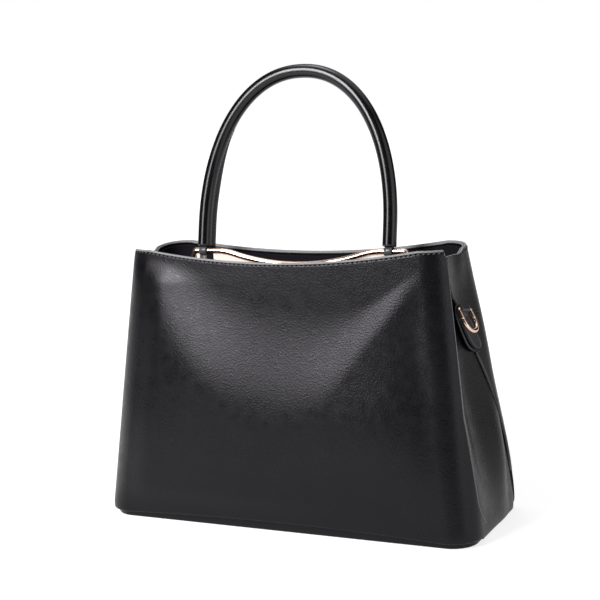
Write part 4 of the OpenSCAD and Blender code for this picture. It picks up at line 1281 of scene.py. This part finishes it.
def ribbon(path, t, sides):
    """The strap: across it are points of a flattened loop with round edges, t thick, along the path.

    Low down it follows the wall along the tab's slant; near the ring it turns to lie square to the bar."""
    run = np.concatenate([[0], np.cumsum(np.linalg.norm(np.diff(path, axis=0), axis=-1))])
    at = np.linspace(0, run[-1], 130)
    path = np.stack([np.interp(at, run, path[:, k]) for k in range(2)], -1)
    for _ in range(3):
        path[1:-1] = (path[:-2] + 2 * path[1:-1] + path[2:]) / 4
    along = unit(np.gradient(path, axis=0))
    normal = np.stack([along[:, 1], -along[:, 0]], -1)
    up_tab = path[:, 1] - path[0, 1]
    low = np.minimum(1, np.maximum(0.02, up_tab / TIP_ROUND))
    wide = mix(STRAP_TIP_W, STRAP_W, clip01(up_tab / -path[0, 1]))
    half = (wide / 2 - t / 2) * np.sqrt(1 - (1 - low) ** 2)
    flat, level, ones = np.linspace(-1, 1, sides), np.zeros(sides), np.ones(sides)
    cap = np.radians(np.linspace(-90, 90, 7)[1:-1])
    across = np.concatenate([flat, np.ones(5), flat[::-1], -np.ones(5)])
    bulge = np.concatenate([level, np.cos(cap), level, -np.cos(cap)]) * t / 2
    lift = np.concatenate([-ones, np.sin(cap), ones, -np.sin(cap)]) * t / 2
    w = across[None] * half[:, None] + bulge[None]
    o = path[:, :1] + normal[:, :1] * lift[None]
    h = path[:, 1:] + normal[:, 1:] * lift[None]
    z = TAB_Z + h * tab_up[2]
    on_wall = side_point(tab_centre(z) + w / math.cos(SLANT), z, 0) + tab_out * o[..., None]
    on_bar = ring_centre + tab_bar * w[..., None] + tab_up * h[..., None]
    on_bar = on_bar + tab_out * (o - RING_STAND)[..., None]
    points, faces, _ = closed_stack(mix(on_wall, on_bar, ease((h + SQUARE_FROM) / SQUARE_RUN)[..., None]))
    edge = np.maximum(half[:, None] - np.abs(across[None]) * half[:, None], 0)
    return points, faces, np.concatenate([edge.ravel(), [0, 0]])


put_pair("tab_strap_{}_skin", "tab_strap_{}", ribbon(ribbon_path(), RIBBON_T, 9), "tab_leather")

# %% [markdown]
# A D-ring is bent from round wire: a straight bar inside the strap, two short arms with a fine groove
# round each, and a half circle. A torus with a cut side would have no arms. The path is drawn in the ring's
# own plane from straight runs and arcs, and the tube thins at the grooves.

# %% D-rings
GROOVE_AT, RING_GROOVE_W, RING_GROOVE = -8.5, 0.3, 0.22
RING_BEND_R, BAR_HALF, ARM_FROM, ARM_TO, ARM_X = 2.0, 6.5, 0.4, 7.8, 8


def ring_path():
    """In the ring's plane, along the bar and up: the bar, two arms and a half circle, with corner arcs."""
    half = RING_W / 2
    corners = [np.array([half, 0.0]), np.array([-half, 0.0])]
    foot = [np.array([half, -ARM_L]), np.array([-half, -ARM_L])]
    right_bend = rounded_corner(corners[1], corners[0], foot[0], RING_BEND_R)
    left_bend = rounded_corner(foot[1], corners[1], corners[0], RING_BEND_R)
    turn = np.linspace(0, -np.pi, 60)
    arc = np.stack([half * np.cos(turn), -ARM_L + half * np.sin(turn)], -1)
    up_arm = np.array([[0, 1.0]]) * np.linspace(ARM_FROM, ARM_TO, 36)[:, None]
    bar = np.stack([np.linspace(-BAR_HALF, BAR_HALF, 20), np.zeros(20)], -1)
    return np.concatenate([right_bend, foot[0] + up_arm[::-1], arc, foot[1] + up_arm, left_bend, bar])


ring_line = ring_path()
on_arm = np.abs(ring_line[:, 0]) > ARM_X
groove = np.exp(-((ring_line[:, 1] - GROOVE_AT) / RING_GROOVE_W) ** 2) * on_arm
ring_up = tab_up * math.cos(RING_LIFT) - tab_out * math.sin(RING_LIFT)
ring_at = ring_centre + ring_line[:, :1] * tab_bar + ring_line[:, 1:] * ring_up
put_pair("d_ring_{}_metal", "d_ring_{}", tube(ring_at, WIRE_R - RING_GROOVE * groove, closed=True),
         "rose_gold", "ring_{}")

# %% [markdown]
# Two solids stay as they are, because leather and cloth hide them: the board in the base and the rope
# inside the handle. New shapes for them would never be seen. They still get their own finish, because the
# model can be taken apart.

# %% Finish of the kept solids
for node, finish in (("base_board", "board"), ("handle_core", "rope")):
    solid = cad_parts[node]
    solid.data.materials.clear()
    solid.data.materials.append(finishes[finish])
print("kept solids finished")

# %% [markdown]
# The studio is white all round, and the bag stands on a white floor. A lamp strong enough to make the floor
# white would wash out the leather. So the floor is a matt grey that takes the shadow, with a glow that only
# the camera and mirror-like rays see.

# %% Floor
FLOOR_R, FLOOR_SIDES, FLOOR_GREY, MIRROR_GLOW = 12, 96, 0.42, 0.6
NEAR_M, FAR_M, NEAR_GLOW = 0.25, 0.9, 0.78


def paint_floor():
    """White to the eye, with a soft shadow: a glow for camera and mirror rays over a matt surface.

    The lamps light the floor near the bag; farther out the glow grows by as much as their light falls off."""
    tree, shader = new_finish("studio_floor")
    rays = add(tree, "LightPath").outputs
    mirror = add(tree, "Math", {0: rays["Is Glossy Ray"], 1: MIRROR_GLOW}, operation="MULTIPLY")
    seen = add(tree, "Math", {0: rays["Is Camera Ray"], 1: mirror.outputs["Value"]}, operation="MAXIMUM")
    far = add(tree, "VectorMath", {0: place(tree)}, operation="LENGTH").outputs["Value"]
    more = ramp(tree, far, NEAR_M, FAR_M, NEAR_GLOW, 1.0, kind="SMOOTHSTEP")
    glow = add(tree, "Math", {0: seen.outputs["Value"], 1: more}, operation="MULTIPLY")
    feed(tree, shader, {"Base Color": (FLOOR_GREY, FLOOR_GREY, FLOOR_GREY, 1), "Roughness": 0.9,
                        "Specular IOR Level": 0.1, "Emission Color": (1, 1, 1, 1),
                        "Emission Strength": glow.outputs["Value"]})


paint_floor()
turn = np.arange(FLOOR_SIDES) * 2 * np.pi / FLOOR_SIDES
mesh = bpy.data.meshes.new("studio_floor")
rim = np.stack([FLOOR_R * np.cos(turn), FLOOR_R * np.sin(turn), 0 * turn], -1)
mesh.from_pydata(rim.tolist(), [], [list(range(FLOOR_SIDES))])
mesh.materials.append(finishes["studio_floor"])
ground = bpy.data.objects.new("studio_floor", mesh)
bpy.context.scene.collection.objects.link(ground)
print("floor is", 2 * FLOOR_R, "m across")

# %% [markdown]
# Black leather shows its shape mostly by what it mirrors. A wholly white world would turn it grey, and a
# wholly black one would lose its outline. So mirror-like rays see a dark room with three white patches, on
# the right, behind to the left, and overhead. The camera sees plain white, and all other rays a soft grey.

# %% World
ROOM_GREY, SOFT_LIGHT = 0.02, 0.4
PATCHES = [((0.96, -0.05, 0.28), 0.80, 0.95), ((-0.40, 0.91, 0.05), 0.82, 0.94), ((0, 0.2, 0.98), 0.72, 0.9)]


def studio_world():
    """White to the camera, patches in a dark room to mirror and glass rays, and grey to the rest.

    A patch is a soft step in the dot product of the ray's direction with the patch's own."""
    world = bpy.data.worlds.new("studio")
    world.use_nodes = True
    tree = world.node_tree
    ray = add(tree, "TexCoord").outputs["Generated"]
    room = None
    for direction, start, whole in PATCHES:
        toward = add(tree, "VectorMath", {0: ray, 1: direction}, operation="DOT_PRODUCT").outputs["Value"]
        light = ramp(tree, toward, start, whole, ROOM_GREY, 1.0, kind="SMOOTHSTEP")
        if room is not None:
            light = add(tree, "Math", {0: room, 1: light}, operation="MAXIMUM").outputs["Value"]
        room = light
    rays = add(tree, "LightPath").outputs
    mirror = add(tree, "Math", {0: rays["Is Glossy Ray"], 1: rays["Is Transmission Ray"]}, operation="MAXIMUM")
    shown = add(tree, "Mix", {"A": SOFT_LIGHT, "B": room, "Factor": mirror.outputs["Value"]})
    eye = add(tree, "Mix", {"A": shown.outputs["Result"], "B": 1.0, "Factor": rays["Is Camera Ray"]})
    feed(tree, tree.nodes["Background"], {"Color": (1, 1, 1, 1), "Strength": eye.outputs["Result"]})
    return world


bpy.context.scene.world = studio_world()
print("world ready, with", len(PATCHES), "white patches")

# %% [markdown]
# Two soft boxes one above the other, from the left and in front, give the broad sheen on the front panel.
# One nearly overhead lights the rim and the handle's top, and a faint one on the right rounds the side.
# Spot lamps or the sun would be too hard for leather: the size of a lamp is what makes its shine soft.

# %% Lamps
AIM = np.array([0.0, 0.0, 0.15])
LAMP_AWAY = 1.8
LAMPS = [("key", -25, 22, 0.6, 10), ("key_above", -25, 36, 0.7, 29), ("top", -120, 78, 0.7, 6),
         ("right", 75, 10, 0.7, 1.2)]


def around(azimuth, elevation):
    """A place on a sphere round the aim: azimuth 0 is in front and 90 on the right, in degrees."""
    a, e = math.radians(azimuth), math.radians(elevation)
    return AIM + LAMP_AWAY * np.array([math.sin(a) * math.cos(e), -math.cos(a) * math.cos(e), math.sin(e)])


def lamp(name, at, size, watts):
    """A square soft box of one side length, turned so that it faces the aim."""
    light = bpy.data.lights.new(name, "AREA")
    light.shape, light.size, light.energy = "SQUARE", size, watts
    back = unit(at - AIM)
    side = unit(np.cross([0.0, 0.0, 1.0], back))
    stand(bpy.data.objects.new(name, light), side, np.cross(back, side), back, at)


for name, azimuth, elevation, size, watts in LAMPS:
    lamp(name, around(azimuth, elevation), size, watts)
